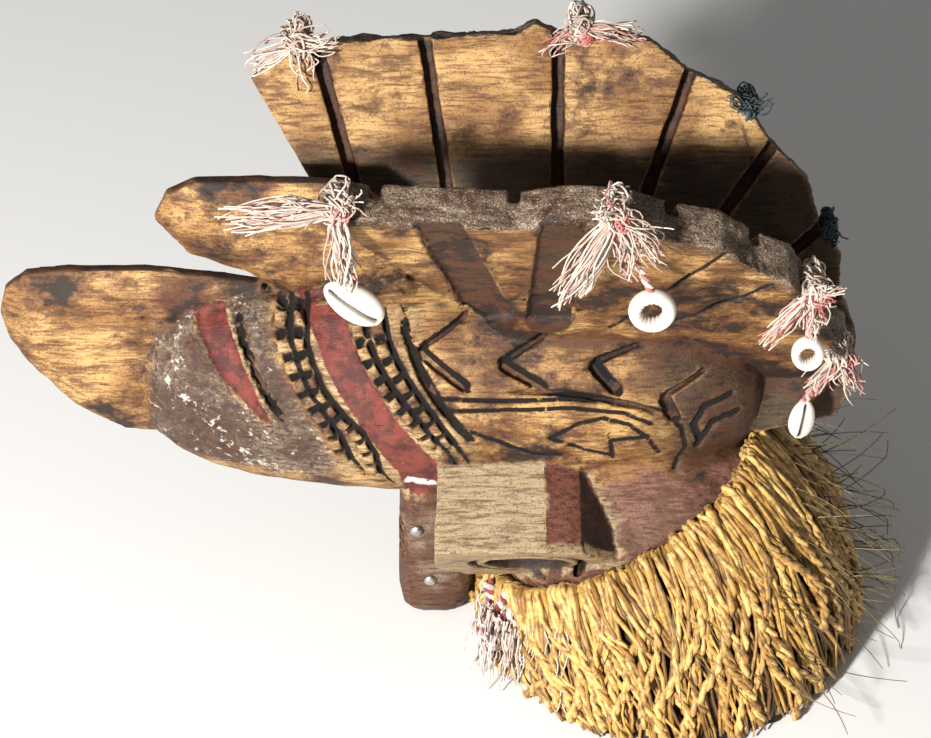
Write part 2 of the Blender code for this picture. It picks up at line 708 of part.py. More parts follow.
def carve_flank(head, side, group):
    # Bead rows, eye slit, panel edge and chevrons of one flank
    for route in BEAD_ROWS:
        combine(head, bead_row(route, side, group), "UNION")
    combine(head, skin_cut(EYE_ROUTE, side, EYE_WIDTH, group), "DIFFERENCE")
    combine(head, skin_cut(BAND_ROUTE, side, EYE_WIDTH, group), "DIFFERENCE")
    combine(head, skin_cut(PANEL_ROUTE, side, PANEL_GROOVE, group), "DIFFERENCE")
    for upper, apex, lower in CHEVRONS:
        combine(head, skin_cut((upper, apex), side, CHEVRON_WIDTH / 2, group, 4), "DIFFERENCE")
        combine(head, skin_cut((apex, lower), side, CHEVRON_WIDTH, group, 4), "DIFFERENCE")


def carved_head(group):
    head = head_body(group)
    crests = crest_body(CRESTS["near"], group)
    combine(crests, crest_body(CRESTS["far"], group), "UNION")
    combine(head, crests, "UNION")
    for blade_outline, thickness in ((nose_outline(), NOSE_THICKNESS), (tongue_outline(), TONGUE_THICKNESS)):
        combine(head, blade(blade_outline, thickness, group), "UNION")
    combine(head, neck_body(group), "UNION")
    combine(head, chin_body(group), "UNION")
    for side in (-1, 1):
        combine(head, ear_body(side, group), "UNION")
        for cutter in ear_cutters(side, group):
            combine(head, cutter, "DIFFERENCE")
    for cutter in chin_cutters(group):
        combine(head, cutter, "DIFFERENCE")
    combine(head, neck_hollow(group), "DIFFERENCE")
    for side in (-1, 1):
        carve_flank(head, side, group)
    return head


def ruff_ring(share, collar, inset):
    # A ring between the neck's rim and the ground: the collar's thickness above, the inset below
    reach = GAP + collar
    top = neck_ring(RUFF_TOP, NECK_RIM_LONG + reach, NECK_RIM_WIDE + reach, RUFF_SIDES)
    ring = []
    for k in range(RUFF_SIDES):
        turn = 2 * math.pi * (k + 0.5) / RUFF_SIDES
        out = Vector((math.cos(turn), math.sin(turn), 0.0))
        fullness = RUFF_BULGE_SIDE + (1.0 - RUFF_BULGE_SIDE) * math.cos(turn)
        bulge = RUFF_BULGE * math.sin(math.pi * share) * fullness
        flute = RUFF_FLUTE * (1 if k % 2 else -1) * min(1.0, share / RUFF_FLUTE_FROM)
        low = Vector((RUFF_X + (RUFF_HALF_LENGTH - inset) * math.cos(turn),
                      (RUFF_HALF_WIDTH - inset) * math.sin(turn), -STANDING_HEIGHT))
        ring.append(top[k] * (1 - share) + low * share + out * (bulge + flute))
    return ring


def raffia_ruff(group):
    shares = [i / RUFF_RINGS for i in range(RUFF_RINGS + 1)]
    outer = [ruff_ring(share, RUFF_COLLAR, 0.0) for share in shares]
    inner = [ruff_ring(share, 0.0, RUFF_WALL) for share in reversed(shares)]
    return mesh_object("raffia_ruff", loft(outer + inner, closed_loop=True), group, "raffia")


def neck_cord(group):
    # The cord round the neck above the ruff
    radius = CORD_DIAMETER / 2
    reach = GAP + radius
    ring = neck_ring(RUFF_TOP + GAP + radius, NECK_RIM_LONG + reach, NECK_RIM_WIDE + reach)
    shape = bpy.data.curves.new("neck_cord", "CURVE")
    shape.dimensions = "3D"
    shape.bevel_depth = radius
    shape.bevel_resolution = 1
    spline = shape.splines.new("POLY")
    spline.points.add(len(ring) - 1)
    for point, place in zip(spline.points, ring):
        point.co = (*place, 1.0)
    spline.use_cyclic_u = True
    shape.materials.append(material("cotton_cord"))
    made = bpy.data.objects.new("neck_cord", shape)
    group.objects.link(made)
    return made


def ellipsoid(centre, sizes, group, segments=12, rings=6):
    shape = bmesh.new()
    bmesh.ops.create_uvsphere(shape, u_segments=segments, v_segments=rings, radius=0.5)
    bmesh.ops.scale(shape, vec=sizes, verts=shape.verts)
    bmesh.ops.translate(shape, vec=centre, verts=shape.verts)
    return mesh_object("ellipsoid", shape, group)


def rod(start, end, radius, group, sides=8):
    # A straight round rod between two places
    along = end - start
    place = Matrix.Translation((start + end) / 2) @ along.to_track_quat("Z", "Y").to_matrix().to_4x4()
    shape = bmesh.new()
    bmesh.ops.create_cone(shape, cap_ends=True, segments=sides, radius1=radius, radius2=radius,
                          depth=along.length, matrix=place)
    return mesh_object("rod", shape, group)


def shell_place(shell, crest, angle):
    # Where a shell hangs: clear of the outer face, below the rim
    x, z = rim_at(crest, angle)
    along, outward, drop = SHELLS[shell][4]
    edge = crest_point(crest, x, z, CREST_THICKNESS / 2)
    return edge + Vector((along, crest["side"] * outward, drop))


def tassel(name, group):
    # A knot of threads that straddles the rim, and the string to its shell
    crest_name, angle, scale, shell = TASSELS[name]
    crest = CRESTS[crest_name]
    x, z = rim_at(crest, angle)
    knot_size = (TASSEL_LENGTH * scale, 2 * TASSEL_HEIGHT * scale, CREST_THICKNESS + TASSEL_WIDTH * scale)
    knot = ellipsoid((x, crest_height(z), 0.0), knot_size, group)
    knot.matrix_world = crest_matrix(crest)
    bake_place(knot)
    if shell:
        start = crest_point(crest, x, z, CREST_THICKNESS / 2 + STRING_DIAMETER * STRING_STAND)
        clear = SHELLS[shell][0] / 2 + GAP + STRING_DIAMETER / 4  # for the slant of the string's end
        end = shell_place(shell, crest, angle) + Vector((0.0, 0.0, clear))
        combine(knot, rod(start, end, STRING_DIAMETER / 2, group), "UNION")
    for beside in CRESTS.values():
        outline = [(px, crest_height(pz)) for px, pz in grown_outline(beside)]
        guard = outline_object("guard", outline, CREST_THICKNESS / 2 + GAP, group)
        guard.matrix_world = crest_matrix(beside)
        bake_place(guard)
        combine(knot, guard, "DIFFERENCE")
    return named(knot, name, "cotton_thread")


def grown_outline(crest):
    # The crest's outline moved out by the gap, each corner along the middle of its two edges' normals
    outline = [Vector(point) for point in crest_outline(crest)]
    grown = []
    for i, here in enumerate(outline):
        towards = (here - outline[i - 1]).normalized()
        onwards = (outline[(i + 1) % len(outline)] - here).normalized()
        away = Vector((-towards.y - onwards.y, towards.x + onwards.x)).normalized()
        grown.append(tuple(here + away * 1.5 * GAP))
    return grown


def cowrie(name, crest, angle, group):
    # A shell with a slit under it, or cut through to a ring
    length, width, depth, is_ring, _ = SHELLS[name]
    shape = ellipsoid((0.0, 0.0, 0.0), (width, depth, length), group, 12, 8)
    if is_ring:
        cutter = rod(Vector((0.0, -depth, 0.0)), Vector((0.0, depth, 0.0)), width * SHELL_HOLE, group, 12)
    else:
        slit = [size * share for size, share in zip((width, depth, length), SLIT_SIZE)]
        cutter = ellipsoid((0.0, -depth * SLIT_PLACE, 0.0), slit, group, 8, 6)
    combine(shape, cutter, "DIFFERENCE")
    shape.matrix_world = Matrix.Translation(shell_place(name, crest, angle))
    bake_place(shape)
    return named(shape, name, "shell")


def tack(name, x, z, side, group):
    # A low dome, half a flattened ball, whose flat back lies on the chin's side
    upright = Matrix.Rotation(math.pi / 2, 4, "X")
    shape = bmesh.new()
    bmesh.ops.create_uvsphere(shape, u_segments=TACK_SIDES, v_segments=6, radius=TACK_DIAMETER / 2,
                              matrix=upright)
    cut = bmesh.ops.bisect_plane(shape, geom=shape.verts[:] + shape.edges[:] + shape.faces[:], dist=0.00001,
                                 plane_co=(0.0, 0.0, 0.0), plane_no=(0.0, side, 0.0), clear_inner=True)
    rim = [edge for edge in cut["geom_cut"] if isinstance(edge, bmesh.types.BMEdge)]
    bmesh.ops.edgeloop_fill(shape, edges=rim)
    bmesh.ops.scale(shape, vec=(1.0, 2 * TACK_HEIGHT / TACK_DIAMETER, 1.0), verts=shape.verts)
    bmesh.ops.translate(shape, vec=(x, side * (CHIN_WIDTH / 2 + GAP), z), verts=shape.verts)
    return mesh_object(name, shape, group, "tack_metal")


def named(item, name, finish):
    item.name = name
    item.data.name = name
    item.data.materials.clear()
    item.data.materials.append(material(finish))
    return item


def build():
    clear_scene()
    group = collection(NAME)
    nose_tip = WIDEST_X - SNOUT_LENGTH - NOSE_LENGTH
    ruff_rear = RUFF_X + RUFF_HALF_LENGTH + RUFF_FLUTE
    root = bpy.data.objects.new(NAME + "_place", None)
    root.location = (-(nose_tip + ruff_rear) / 2, 0.0, STANDING_HEIGHT)
    group.objects.link(root)
    pieces = [carved_head(group), raffia_ruff(group), neck_cord(group)]
    for name, (crest_name, angle, _, shell) in TASSELS.items():
        pieces.append(tassel(name, group))
        if shell:
            pieces.append(cowrie(shell, CRESTS[crest_name], angle, group))
    for side_name, side in (("near", -1), ("far", 1)):
        for k, (x, z) in enumerate(TACKS):
            pieces.append(tack(f"tack_{side_name}_{k + 1}", x, z, side, group))
    for piece in pieces:
        piece.parent = root


build()
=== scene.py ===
import math
import random

import bpy
import numpy as np
from mathutils import Matrix, Vector, noise
from mathutils.bvhtree import BVHTree


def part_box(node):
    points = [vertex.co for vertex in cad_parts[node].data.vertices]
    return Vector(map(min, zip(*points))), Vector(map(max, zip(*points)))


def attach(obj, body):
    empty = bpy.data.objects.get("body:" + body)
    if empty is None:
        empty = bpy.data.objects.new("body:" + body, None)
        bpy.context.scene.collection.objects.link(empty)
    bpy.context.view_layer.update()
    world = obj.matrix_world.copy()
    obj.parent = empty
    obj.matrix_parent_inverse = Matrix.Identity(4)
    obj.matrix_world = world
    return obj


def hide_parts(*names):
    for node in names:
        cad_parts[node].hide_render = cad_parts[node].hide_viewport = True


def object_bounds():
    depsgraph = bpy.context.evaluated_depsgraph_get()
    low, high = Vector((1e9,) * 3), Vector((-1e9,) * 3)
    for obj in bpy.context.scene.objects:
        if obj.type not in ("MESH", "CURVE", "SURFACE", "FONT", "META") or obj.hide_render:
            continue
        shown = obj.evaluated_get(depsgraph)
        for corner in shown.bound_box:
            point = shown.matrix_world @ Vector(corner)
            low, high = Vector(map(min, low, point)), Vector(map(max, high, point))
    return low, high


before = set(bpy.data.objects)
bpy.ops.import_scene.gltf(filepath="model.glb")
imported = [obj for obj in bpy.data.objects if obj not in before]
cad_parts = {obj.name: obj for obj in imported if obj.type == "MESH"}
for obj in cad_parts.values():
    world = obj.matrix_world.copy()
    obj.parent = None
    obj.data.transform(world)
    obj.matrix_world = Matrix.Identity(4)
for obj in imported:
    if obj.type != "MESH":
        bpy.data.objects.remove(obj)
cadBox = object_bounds()
headPlace = Vector((0.00955, 0.0, 0.115))  # the middle of the head's egg shape, above the ground
print("frame loaded")


# Small helpers

def hexToLinear(code):
    parts = [int(code[i:i + 2], 16) / 255 for i in (1, 3, 5)]
    return tuple(c / 12.92 if c <= 0.04045 else ((c + 0.055) / 1.055) ** 2.4 for c in parts) + (1.0,)


def addNode(tree, kind, values, out=0):
    # A key is a socket's name or number, or one of the node's own settings.
    # A value may be another node's output
    node = tree.nodes.new(kind)
    for key, value in values.items():
        if isinstance(value, bpy.types.NodeSocket):
            tree.links.new(value, node.inputs[key])
        elif isinstance(key, int) or key in node.inputs:
            node.inputs[key].default_value = value
        else:
            setattr(node, key, value)
    return node.outputs[out]


def layColours(tree, colour, layers):
    # Lays colours over one another. A layer says what it follows, where that begins and is full,
    # how strong it is there, and its colour
    for source, begin, full, strength, code in layers:
        share = addNode(tree, "ShaderNodeMapRange", {"interpolation_type": "SMOOTHSTEP", "Value": source,
                        "From Min": begin, "From Max": full, "To Max": strength})
        colour = addNode(tree, "ShaderNodeMix", {"data_type": "RGBA", 0: share, 6: colour,
                         7: hexToLinear(code)}, 2)
    return colour


def startMaterial(name):
    made = bpy.data.materials.new(name)
    made.use_nodes = True
    tree = made.node_tree
    position = addNode(tree, "ShaderNodeTexCoord", {}, "Object")
    return made, tree, tree.nodes["Principled BSDF"], position


def deselectAll():
    bpy.ops.object.select_all(action="DESELECT")


def pickOnly(item):
    deselectAll()
    item.select_set(True)
    bpy.context.view_layer.objects.active = item


def finishPiece(item, name, material, nodes=()):
    # Names a piece, gives it its finish, and ties it to the frame
    item.name = name
    item.data.name = name
    item.data.materials.clear()
    item.data.materials.append(material)
    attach(item, "root")
    if nodes:
        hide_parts(*nodes)
    return item


def applyModifier(item, kind, settings):
    pickOnly(item)
    step = item.modifiers.new("step", kind)
    for key, value in settings.items():
        setattr(step, key, value)
    bpy.ops.object.modifier_apply(modifier=step.name)


# Camera, light and floor

view = {
    "elevation": math.radians(38),
    "distance": 1.7,
    "width": 0.358,  # what the picture takes in at the head, in metres
}

studio = {
    "keyAzimuth": math.radians(29),  # from the near side towards the nose
    "keyElevation": math.radians(24),
    "keyDistance": 1.8,
    "keySize": 0.16,
    "keyPower": 70.0,
    "fillPower": 1.6,
    "fillSize": 1.6,
    "skyStrength": 0.17,
    "floorColour": "#EFEDE9",
}


def makeCamera():
    up = view["elevation"]
    away = Vector((0.0, -math.cos(up), math.sin(up))) * view["distance"]
    bpy.ops.object.camera_add(location=headPlace + away, rotation=(math.pi / 2 - up, 0.0, 0.0))
    camera = bpy.context.object
    camera.name = "photoCamera"
    camera.data.lens = camera.data.sensor_width * view["distance"] / view["width"]
    bpy.context.scene.camera = camera


def makeLights():
    turn, up = studio["keyAzimuth"], studio["keyElevation"]
    towards = Vector((-math.sin(turn) * math.cos(up), -math.cos(turn) * math.cos(up), math.sin(up)))
    bpy.ops.object.light_add(type="AREA", location=headPlace + towards * studio["keyDistance"])
    key = bpy.context.object
    key.name = "keyLight"
    key.data.size = studio["keySize"]
    key.data.energy = studio["keyPower"]
    key.rotation_euler = towards.to_track_quat("Z", "Y").to_euler()
    bpy.ops.object.light_add(type="AREA", location=headPlace + Vector((0.3, -0.5, 1.8)))
    fill = bpy.context.object
    fill.name = "fillLight"
    fill.data.size = studio["fillSize"]
    fill.data.energy = studio["fillPower"]
    world = bpy.data.worlds.new("paleStudio")
    bpy.context.scene.world = world
    world.use_nodes = True
    world.node_tree.nodes["Background"].inputs["Color"].default_value = (1.0, 1.0, 1.0, 1.0)
    world.node_tree.nodes["Background"].inputs["Strength"].default_value = studio["skyStrength"]
    bpy.context.scene.view_settings.view_transform = "Standard"


def makeFloor():
    deselectAll()
    bpy.ops.mesh.primitive_plane_add(size=8.0, location=(0.0, 0.0, 0.0))
    floor = bpy.context.object
    floor.name = "studioFloor"
    paper, _, shader, _ = startMaterial("palePaperSweep")
    shader.inputs["Base Color"].default_value = hexToLinear(studio["floorColour"])
    shader.inputs["Roughness"].default_value = 0.9
    floor.data.materials.append(paper)


makeCamera()
makeLights()
makeFloor()
print("camera, light and floor made")


# The carved head: its form, as the CAD has it, in the head's own frame

head = {
    "voxel": 0.00085,
    "quickVoxel": 0.0018,
    "decimatedTriangles": 46000,
    "edgeAtLines": 0.0012,  # so that the paint's edges stay crisp on the flat faces
    "edgeElsewhere": 0.0075,
    "fineEdge": 0.0011,
    "snoutLength": 0.144, "napeLength": 0.096, "widestX": 0.019,
    "halfWidth": 0.0377, "halfHeight": 0.0477, "middleZ": -0.0038,
    "snoutWidthPower": 2.27, "snoutHeightPower": 3.1, "napePower": 2.8,
    "lean": math.radians(26), "crestHalf": 0.00825, "crestFootY": 0.0154, "crestFootZ": 0.035,
    "fanX": 0.0308, "fanZ": 0.0038, "nearRadius": 0.1135, "farRadius": 0.1165,
    "nearTip": (-0.0500, 0.1205), "farTip": (-0.0635, 0.1150), "straightFrom": math.radians(96),
    "earX": 0.0238, "earTilt": math.radians(50), "earRootY": 0.0043, "earRootZ": -0.0199,
    "earLength": 0.0577, "earHalf": 0.0355, "earTaper": 0.94,
    "earCorners": [(-1.00, 0.62), (0.19, 0.70), (0.57, 0.56), (1.00, 0.05),
                   (0.84, -0.46), (0.20, -0.70), (-0.66, -0.68), (-1.00, -0.26)],
    "boreHalf": 0.0160, "boreShare": 0.74, "ringInside": 0.0196, "ringOutside": 0.0226,
    "occlusionReach": 0.011, "occlusionRays": 12,
}

# What is painted and cut on a flank, as places along X and up Z, with widths
flank = {
    "redStripe": [(-0.0980, 0.0352), (-0.0935, 0.0267), (-0.0873, 0.0160), (-0.0750, -0.0011)],
    "redStripeWidth": [0.0120, 0.0112, 0.0092, 0.0015],
    "broadBand": [(-0.0570, 0.0450), (-0.0565, 0.0410), (-0.0519, 0.0366), (-0.0442, 0.0204),
                  (-0.0308, -0.0016), (-0.0173, -0.0228), (-0.0142, -0.0378), (-0.0130, -0.0480)],
    "broadBandWidth": [0.0135, 0.0135, 0.0130, 0.0130, 0.0135, 0.0165, 0.0190, 0.0190],
    "paleDab": [(-0.0205, -0.0322), (-0.0140, -0.0335)],
    "paleDabWidth": [0.0062, 0.0062],
    "beadRows": [
        [(-0.0690, 0.0395), (-0.0700, 0.0327), (-0.0669, 0.0239), (-0.0623, 0.0138), (-0.0558, 0.0035),
         (-0.0504, -0.0064), (-0.0462, -0.0187)],
        [(-0.0630, 0.0400), (-0.0630, 0.0287), (-0.0573, 0.0142), (-0.0496, 0.0040), (-0.0419, -0.0037),
         (-0.0373, -0.0149), (-0.0358, -0.0255)],
        [(-0.0419, 0.0388), (-0.0400, 0.0319), (-0.0369, 0.0253), (-0.0304, 0.0155), (-0.0200, 0.0026),
         (-0.0123, -0.0087)],
        [(-0.0345, 0.0400), (-0.0318, 0.0309), (-0.0285, 0.0246), (-0.0227, 0.0158), (-0.0131, 0.0019),
         (-0.0069, -0.0085)],
    ],
    "beadPitch": 0.0078, "beadNotch": 0.0016, "beadWidth": 0.0042,
    "routeSwell": 1.12,  # a route over the skin is longer than in side view
    "beadTail": (0.0060, -0.0115),  # how far the groove runs on past the last bead
    "beadGap": 0.0034,  # from a row's middle to the dark groove behind it
    "beadGrooveWidth": 0.0021,
    "chevrons": [
        [(0.0008, 0.0395), (-0.0173, 0.0297), (0.0008, 0.0167)],
        [(0.0350, 0.0372), (0.0131, 0.0259), (0.0300, 0.0168)],
        [(0.0655, 0.0306), (0.0477, 0.0256), (0.0577, 0.0146)],
        [(0.0908, 0.0193), (0.0746, 0.0116), (0.0800, 0.0012)],
    ],
    "chevronWidths": [0.0008, 0.0030, 0.0036],
    "eyeSlit": [(-0.0854, 0.0330), (-0.0842, 0.0280), (-0.0819, 0.0222), (-0.0781, 0.0135),
                (-0.0696, 0.0006)],
    "bandGroove": [(-0.0238, 0.0400), (-0.0219, 0.0325), (-0.0173, 0.0232), (-0.0096, 0.0102),
                   (0.0019, -0.0053)],
    "cutWidth": 0.0034,
    "lensLines": [
        [(-0.0096, 0.0127), (0.0146, 0.0121), (0.0410, 0.0129), (0.0627, 0.0101), (0.0746, 0.0058),
         (0.0819, -0.0025), (0.0837, -0.0125), (0.0795, -0.0222)],
        [(-0.0060, 0.0078), (0.0146, 0.0084), (0.0410, 0.0092), (0.0600, 0.0062), (0.0700, 0.0010)],
        [(0.0319, -0.0042), (0.0422, 0.0023), (0.0518, 0.0044), (0.0615, 0.0014), (0.0687, -0.0052),
         (0.0735, -0.0141)],
        [(0.0319, -0.0042), (0.0410, -0.0083), (0.0554, -0.0139)],
        [(0.0023, -0.0013), (0.0119, -0.0057), (0.0265, -0.0123), (0.0362, -0.0132)],
        [(0.0560, -0.0060), (0.0690, -0.0052)],
        [(0.0545, -0.0030), (0.0560, -0.0150)],
    ],
    "lensLineWidth": 0.0018,
    # Stepped cuts behind the lens
    "napeLines": [
        [(0.1004, 0.0073), (0.0904, 0.0053), (0.0865, -0.0020), (0.0892, -0.0107)],
        [(0.1035, -0.0009), (0.0938, -0.0024), (0.0881, -0.0132)],
    ],
    "napeLineWidth": 0.0028,
}

# What is cut on the crests' outer faces, seen from the side
crestCuts = {
    "nearStraps": [[(-0.0173, 0.142), (0.0105, 0.050)], [(0.0365, 0.142), (0.0310, 0.050)]],
    "farStraps": [[(-0.0300, 0.142), (-0.0020, 0.050)], [(0.0300, 0.142), (0.0245, 0.050)]],
    "strapWidth": 0.0170,
    "leafEdges": [
        [(0.0540, 0.0440), (0.0680, 0.0640), (0.0954, 0.1005)],
        [(0.0700, 0.0420), (0.0860, 0.0560), (0.1120, 0.0760)],
        [(-0.0120, 0.0700), (0.0020, 0.0560), (0.0100, 0.0480)],
    ],
    "leafWidth": 0.0018,
}

# Wood tones. The near-black tone, the ear's darkest tone and the dark brown on the last line are painted
# shade
woodTones = {
    "ochreLight": "#C39A60", "ochre": "#8F6536", "ochreDark": "#5E3D24", "paintedShadeBlack": "#1A100A",
    "rimGrey": "#A8957F", "rimDark": "#7A6453", "beadTan": "#A88A5E", "lip": "#B59A72",
    "crustGrey": "#84735F", "crustBrown": "#543D2C", "earTan": "#A08A68", "earRed": "#70402F",
    "earShade": "#2A1914", "chinBrown": "#5C3A2A", "neckPink": "#7C5444", "strap": "#2E1C12",
    "shadowBrown": "#2F1E14", "smearRed": "#5E2018",
}


def headSection(xs):
    front = xs < head["widestX"]
    away = xs - head["widestX"]
    share = np.where(front, -away / head["snoutLength"], away / head["napeLength"])
    share = np.clip(share, 0.0, 0.9995)
    widthPower = np.where(front, head["snoutWidthPower"], head["napePower"])
    heightPower = np.where(front, head["snoutHeightPower"], head["napePower"])
    halfWidth = head["halfWidth"] * (1.0 - share ** widthPower) ** (1.0 / widthPower)
    halfHeight = head["halfHeight"] * (1.0 - share ** heightPower) ** (1.0 / heightPower)
    return halfWidth, halfHeight


def lineDepth(xs, zs, route, widths):
    # How deep each place lies inside a painted or cut line: below nothing outside it
    best = np.full(xs.shape, -0.05)
    if not isinstance(widths, (list, tuple)):
        widths = [widths] * len(route)
    for (ax, az), (bx, bz), startWidth, endWidth in zip(route, route[1:], widths, widths[1:]):
        dx, dz = bx - ax, bz - az
        along = np.clip(((xs - ax) * dx + (zs - az) * dz) / (dx * dx + dz * dz), 0.0, 1.0)
        away = np.hypot(xs - ax - along * dx, zs - az - along * dz)
        best = np.maximum(best, (startWidth + (endWidth - startWidth) * along) / 2 - away)
    return best


def lineReach(xs, zs, route):
    # How far each place is from a line, and how far along the line that is
    nearest = np.full(xs.shape, 9.0)
    reach = np.zeros(xs.shape)
    start = 0.0
    for (ax, az), (bx, bz) in zip(route, route[1:]):
        dx, dz = bx - ax, bz - az
        length = math.hypot(dx, dz)
        along = np.clip(((xs - ax) * dx + (zs - az) * dz) / (length * length), 0.0, 1.0)
        away = np.hypot(xs - ax - along * dx, zs - az - along * dz)
        reach = np.where(away < nearest, start + along * length, reach)
        nearest = np.minimum(nearest, away)
        start += length
    return nearest, reach, start


def beadNotches(xs, zs):
    # How deep each place lies inside a notch between two beads
    best = np.full(xs.shape, -0.05)
    for row in flank["beadRows"]:
        away, reach, length = lineReach(xs, zs, row)
        beads = max(3, round(length * flank["routeSwell"] / flank["beadPitch"]))
        pitch = length / beads
        half = flank["beadNotch"] / 2
        middle = np.abs(((reach - half + pitch / 2) % pitch) - pitch / 2)
        best = np.maximum(best, np.minimum(half - middle, flank["beadWidth"] / 2 - away))
    return best


def smooth(low, high, values):
    share = np.clip((values - low) / (high - low), 0.0, 1.0)
    return share * share * (3.0 - 2.0 * share)


def noiseAt(places, size, seed, octaves=3):
    # Soft noise between about -1 and 1, for features of the given size in metres
    shift = Vector((seed * 3.1, seed * 1.7, seed * 2.3))
    return np.array([noise.fractal(Vector(p) / size + shift, 0.9, 2.0, octaves) for p in places])


def lumpAt(places, size, seed):
    # Distance to the nearest of scattered points, as a share of the spacing
    shift = Vector((seed * 3.1, seed * 1.7, seed * 2.3))
    return np.array([noise.voronoi(Vector(p) / size + shift)[0][0] for p in places])


def meshArrays(item):
    mesh = item.data
    places = np.zeros(len(mesh.vertices) * 3, np.float32)
    mesh.vertices.foreach_get("co", places)
    normals = np.zeros(len(mesh.vertices) * 3, np.float32)
    mesh.vertices.foreach_get("normal", normals)
    edges = np.zeros(len(mesh.edges) * 2, np.int32)
    mesh.edges.foreach_get("vertices", edges)
    return places.reshape(-1, 3).astype(float), normals.reshape(-1, 3).astype(float), edges.reshape(-1, 2)


def occlusionShadeShare(item, places, normals):
    # How closed in each place is, from short rays cast over the wood; the closed-in places get painted shade
    tree = BVHTree.FromObject(item, bpy.context.evaluated_depsgraph_get())
    rng = random.Random(5)
    rays = [Vector([rng.gauss(0.0, 1.0) for _ in range(3)]).normalized() for _ in range(head["occlusionRays"])]
    share = np.zeros(len(places))
    for i, (place, normal) in enumerate(zip(places, normals)):
        outward = Vector(normal)
        start = Vector(place) + outward * 0.0004
        for ray in rays:
            towards = ray if ray.dot(outward) > 0 else -ray
            if tree.ray_cast(start, towards, head["occlusionReach"])[0] is not None:
                share[i] += 1.0
    return share / len(rays)


def neighbourMean(values, edges):
    total = np.zeros_like(values)
    count = np.bincount(edges.ravel(), minlength=len(values)).astype(float)
    for side, other in ((0, 1), (1, 0)):
        for axis in range(values.shape[1]):
            weights = values[edges[:, other], axis]
            total[:, axis] += np.bincount(edges[:, side], weights=weights, minlength=len(values))
    return total / np.maximum(count, 1.0)[:, None]


def placeFields(places, normals):
    # Says of each vertex what it belongs to, in the head's own frame
    xs, ys, zs = places.T
    halfWidth, halfHeight = headSection(xs)
    egg = np.hypot(ys / np.maximum(halfWidth, 1e-4), (zs - head["middleZ"]) / np.maximum(halfHeight, 1e-4))
    field = {"xs": xs, "ys": ys, "zs": zs, "egg": egg}
    best = np.full(xs.shape, 9.0)
    for name in ("offset", "rise", "rimDepth", "side"):
        field[name] = np.zeros(xs.shape)
    crests = ((-1, head["nearRadius"], head["nearTip"]), (1, head["farRadius"], head["farTip"]))
    for side, radius, tip in crests:
        outY, outZ = side * math.cos(head["lean"]), -math.sin(head["lean"])
        upY, upZ = side * math.sin(head["lean"]), math.cos(head["lean"])
        relY, relZ = ys - side * head["crestFootY"], zs - head["crestFootZ"]
        offset = relY * outY + relZ * outZ
        flatZ = head["crestFootZ"] + (relY * upY + relZ * upZ) * math.cos(head["lean"])
        dx, dz = xs - head["fanX"], flatZ - head["fanZ"]
        topX = head["fanX"] + radius * math.cos(head["straightFrom"])
        topZ = head["fanZ"] + radius * math.sin(head["straightFrom"])
        lineZ = topZ + (tip[1] - topZ) * (topX - xs) / (topX - tip[0])
        rimDepth = np.where(xs < topX, lineZ - flatZ, radius - np.hypot(dx, dz))
        nearer = np.abs(offset) < best
        best = np.where(nearer, np.abs(offset), best)
        for name, value in (("offset", offset), ("rise", flatZ), ("rimDepth", rimDepth), ("side", side)):
            field[name] = np.where(nearer, value, field[name])
        field["outward" + ("Near" if side < 0 else "Far")] = normals[:, 1] * outY + normals[:, 2] * outZ
    onPlate = (np.abs(field["offset"]) < head["crestHalf"] + 0.0016) & (field["rimDepth"] > -0.006)
    onTongue = (xs < -0.055) & (np.abs(ys) < 0.012)
    field["crest"] = onPlate & ((zs > 0.040) | (egg > 1.06)) & (zs > -0.02) & ~onTongue
    field["tongue"] = (~field["crest"] & (np.abs(ys) < 0.0095) & (xs < -0.018) & (zs > -0.036)
                       & ((egg > 1.04) | (xs < -0.122)))
    facing = np.where(field["side"] < 0, field["outwardNear"], field["outwardFar"])
    field["outerFace"] = field["crest"] & (facing > 0.6)
    field["innerFace"] = field["crest"] & (facing < -0.6)
    field["rim"] = field["crest"] & (np.abs(facing) <= 0.6) & (field["rimDepth"] < 0.006)
    axisY, axisZ = math.sin(head["earTilt"]), -math.cos(head["earTilt"])
    along = (np.abs(ys) - head["earRootY"]) * axisY + (zs - head["earRootZ"]) * axisZ
    across = (zs - head["earRootZ"]) * axisY - (np.abs(ys) - head["earRootY"]) * axisZ
    share = np.clip(along / head["earLength"], 0, 1)
    size = head["earHalf"] * (head["earTaper"] + (1 - head["earTaper"]) * share)
    outside = np.full(xs.shape, -1.0)
    corners = head["earCorners"]
    for (ax, ay), (bx, by) in zip(corners, corners[1:] + corners[:1]):
        length = math.hypot(bx - ax, by - ay)
        away = ((xs - head["earX"] - ax * size) * (ay - by) + (across - ay * size) * (bx - ax)) / length
        outside = np.maximum(outside, away)
    field["earAlong"] = along
    field["earOval"] = np.hypot(xs - head["earX"], across / head["boreShare"])
    field["ear"] = (~field["crest"] & (egg > 1.012) & (along > 0.010) & (along < head["earLength"] + 0.002)
                    & (outside < 0.0012) & (np.abs(ys) > 0.022) & (zs < 0.0))
    field["skin"] = ~field["crest"] & ~field["tongue"] & ~field["ear"] & (np.abs(egg - 1.0) < 0.10)
    field["chin"] = ~field["skin"] & ~field["ear"] & (xs < 0.004) & (zs < -0.036) & ~field["tongue"]
    field["neck"] = (~field["skin"] & ~field["ear"] & ~field["chin"] & ~field["crest"] & ~field["tongue"]
                     & (zs < 0.01))
    return field


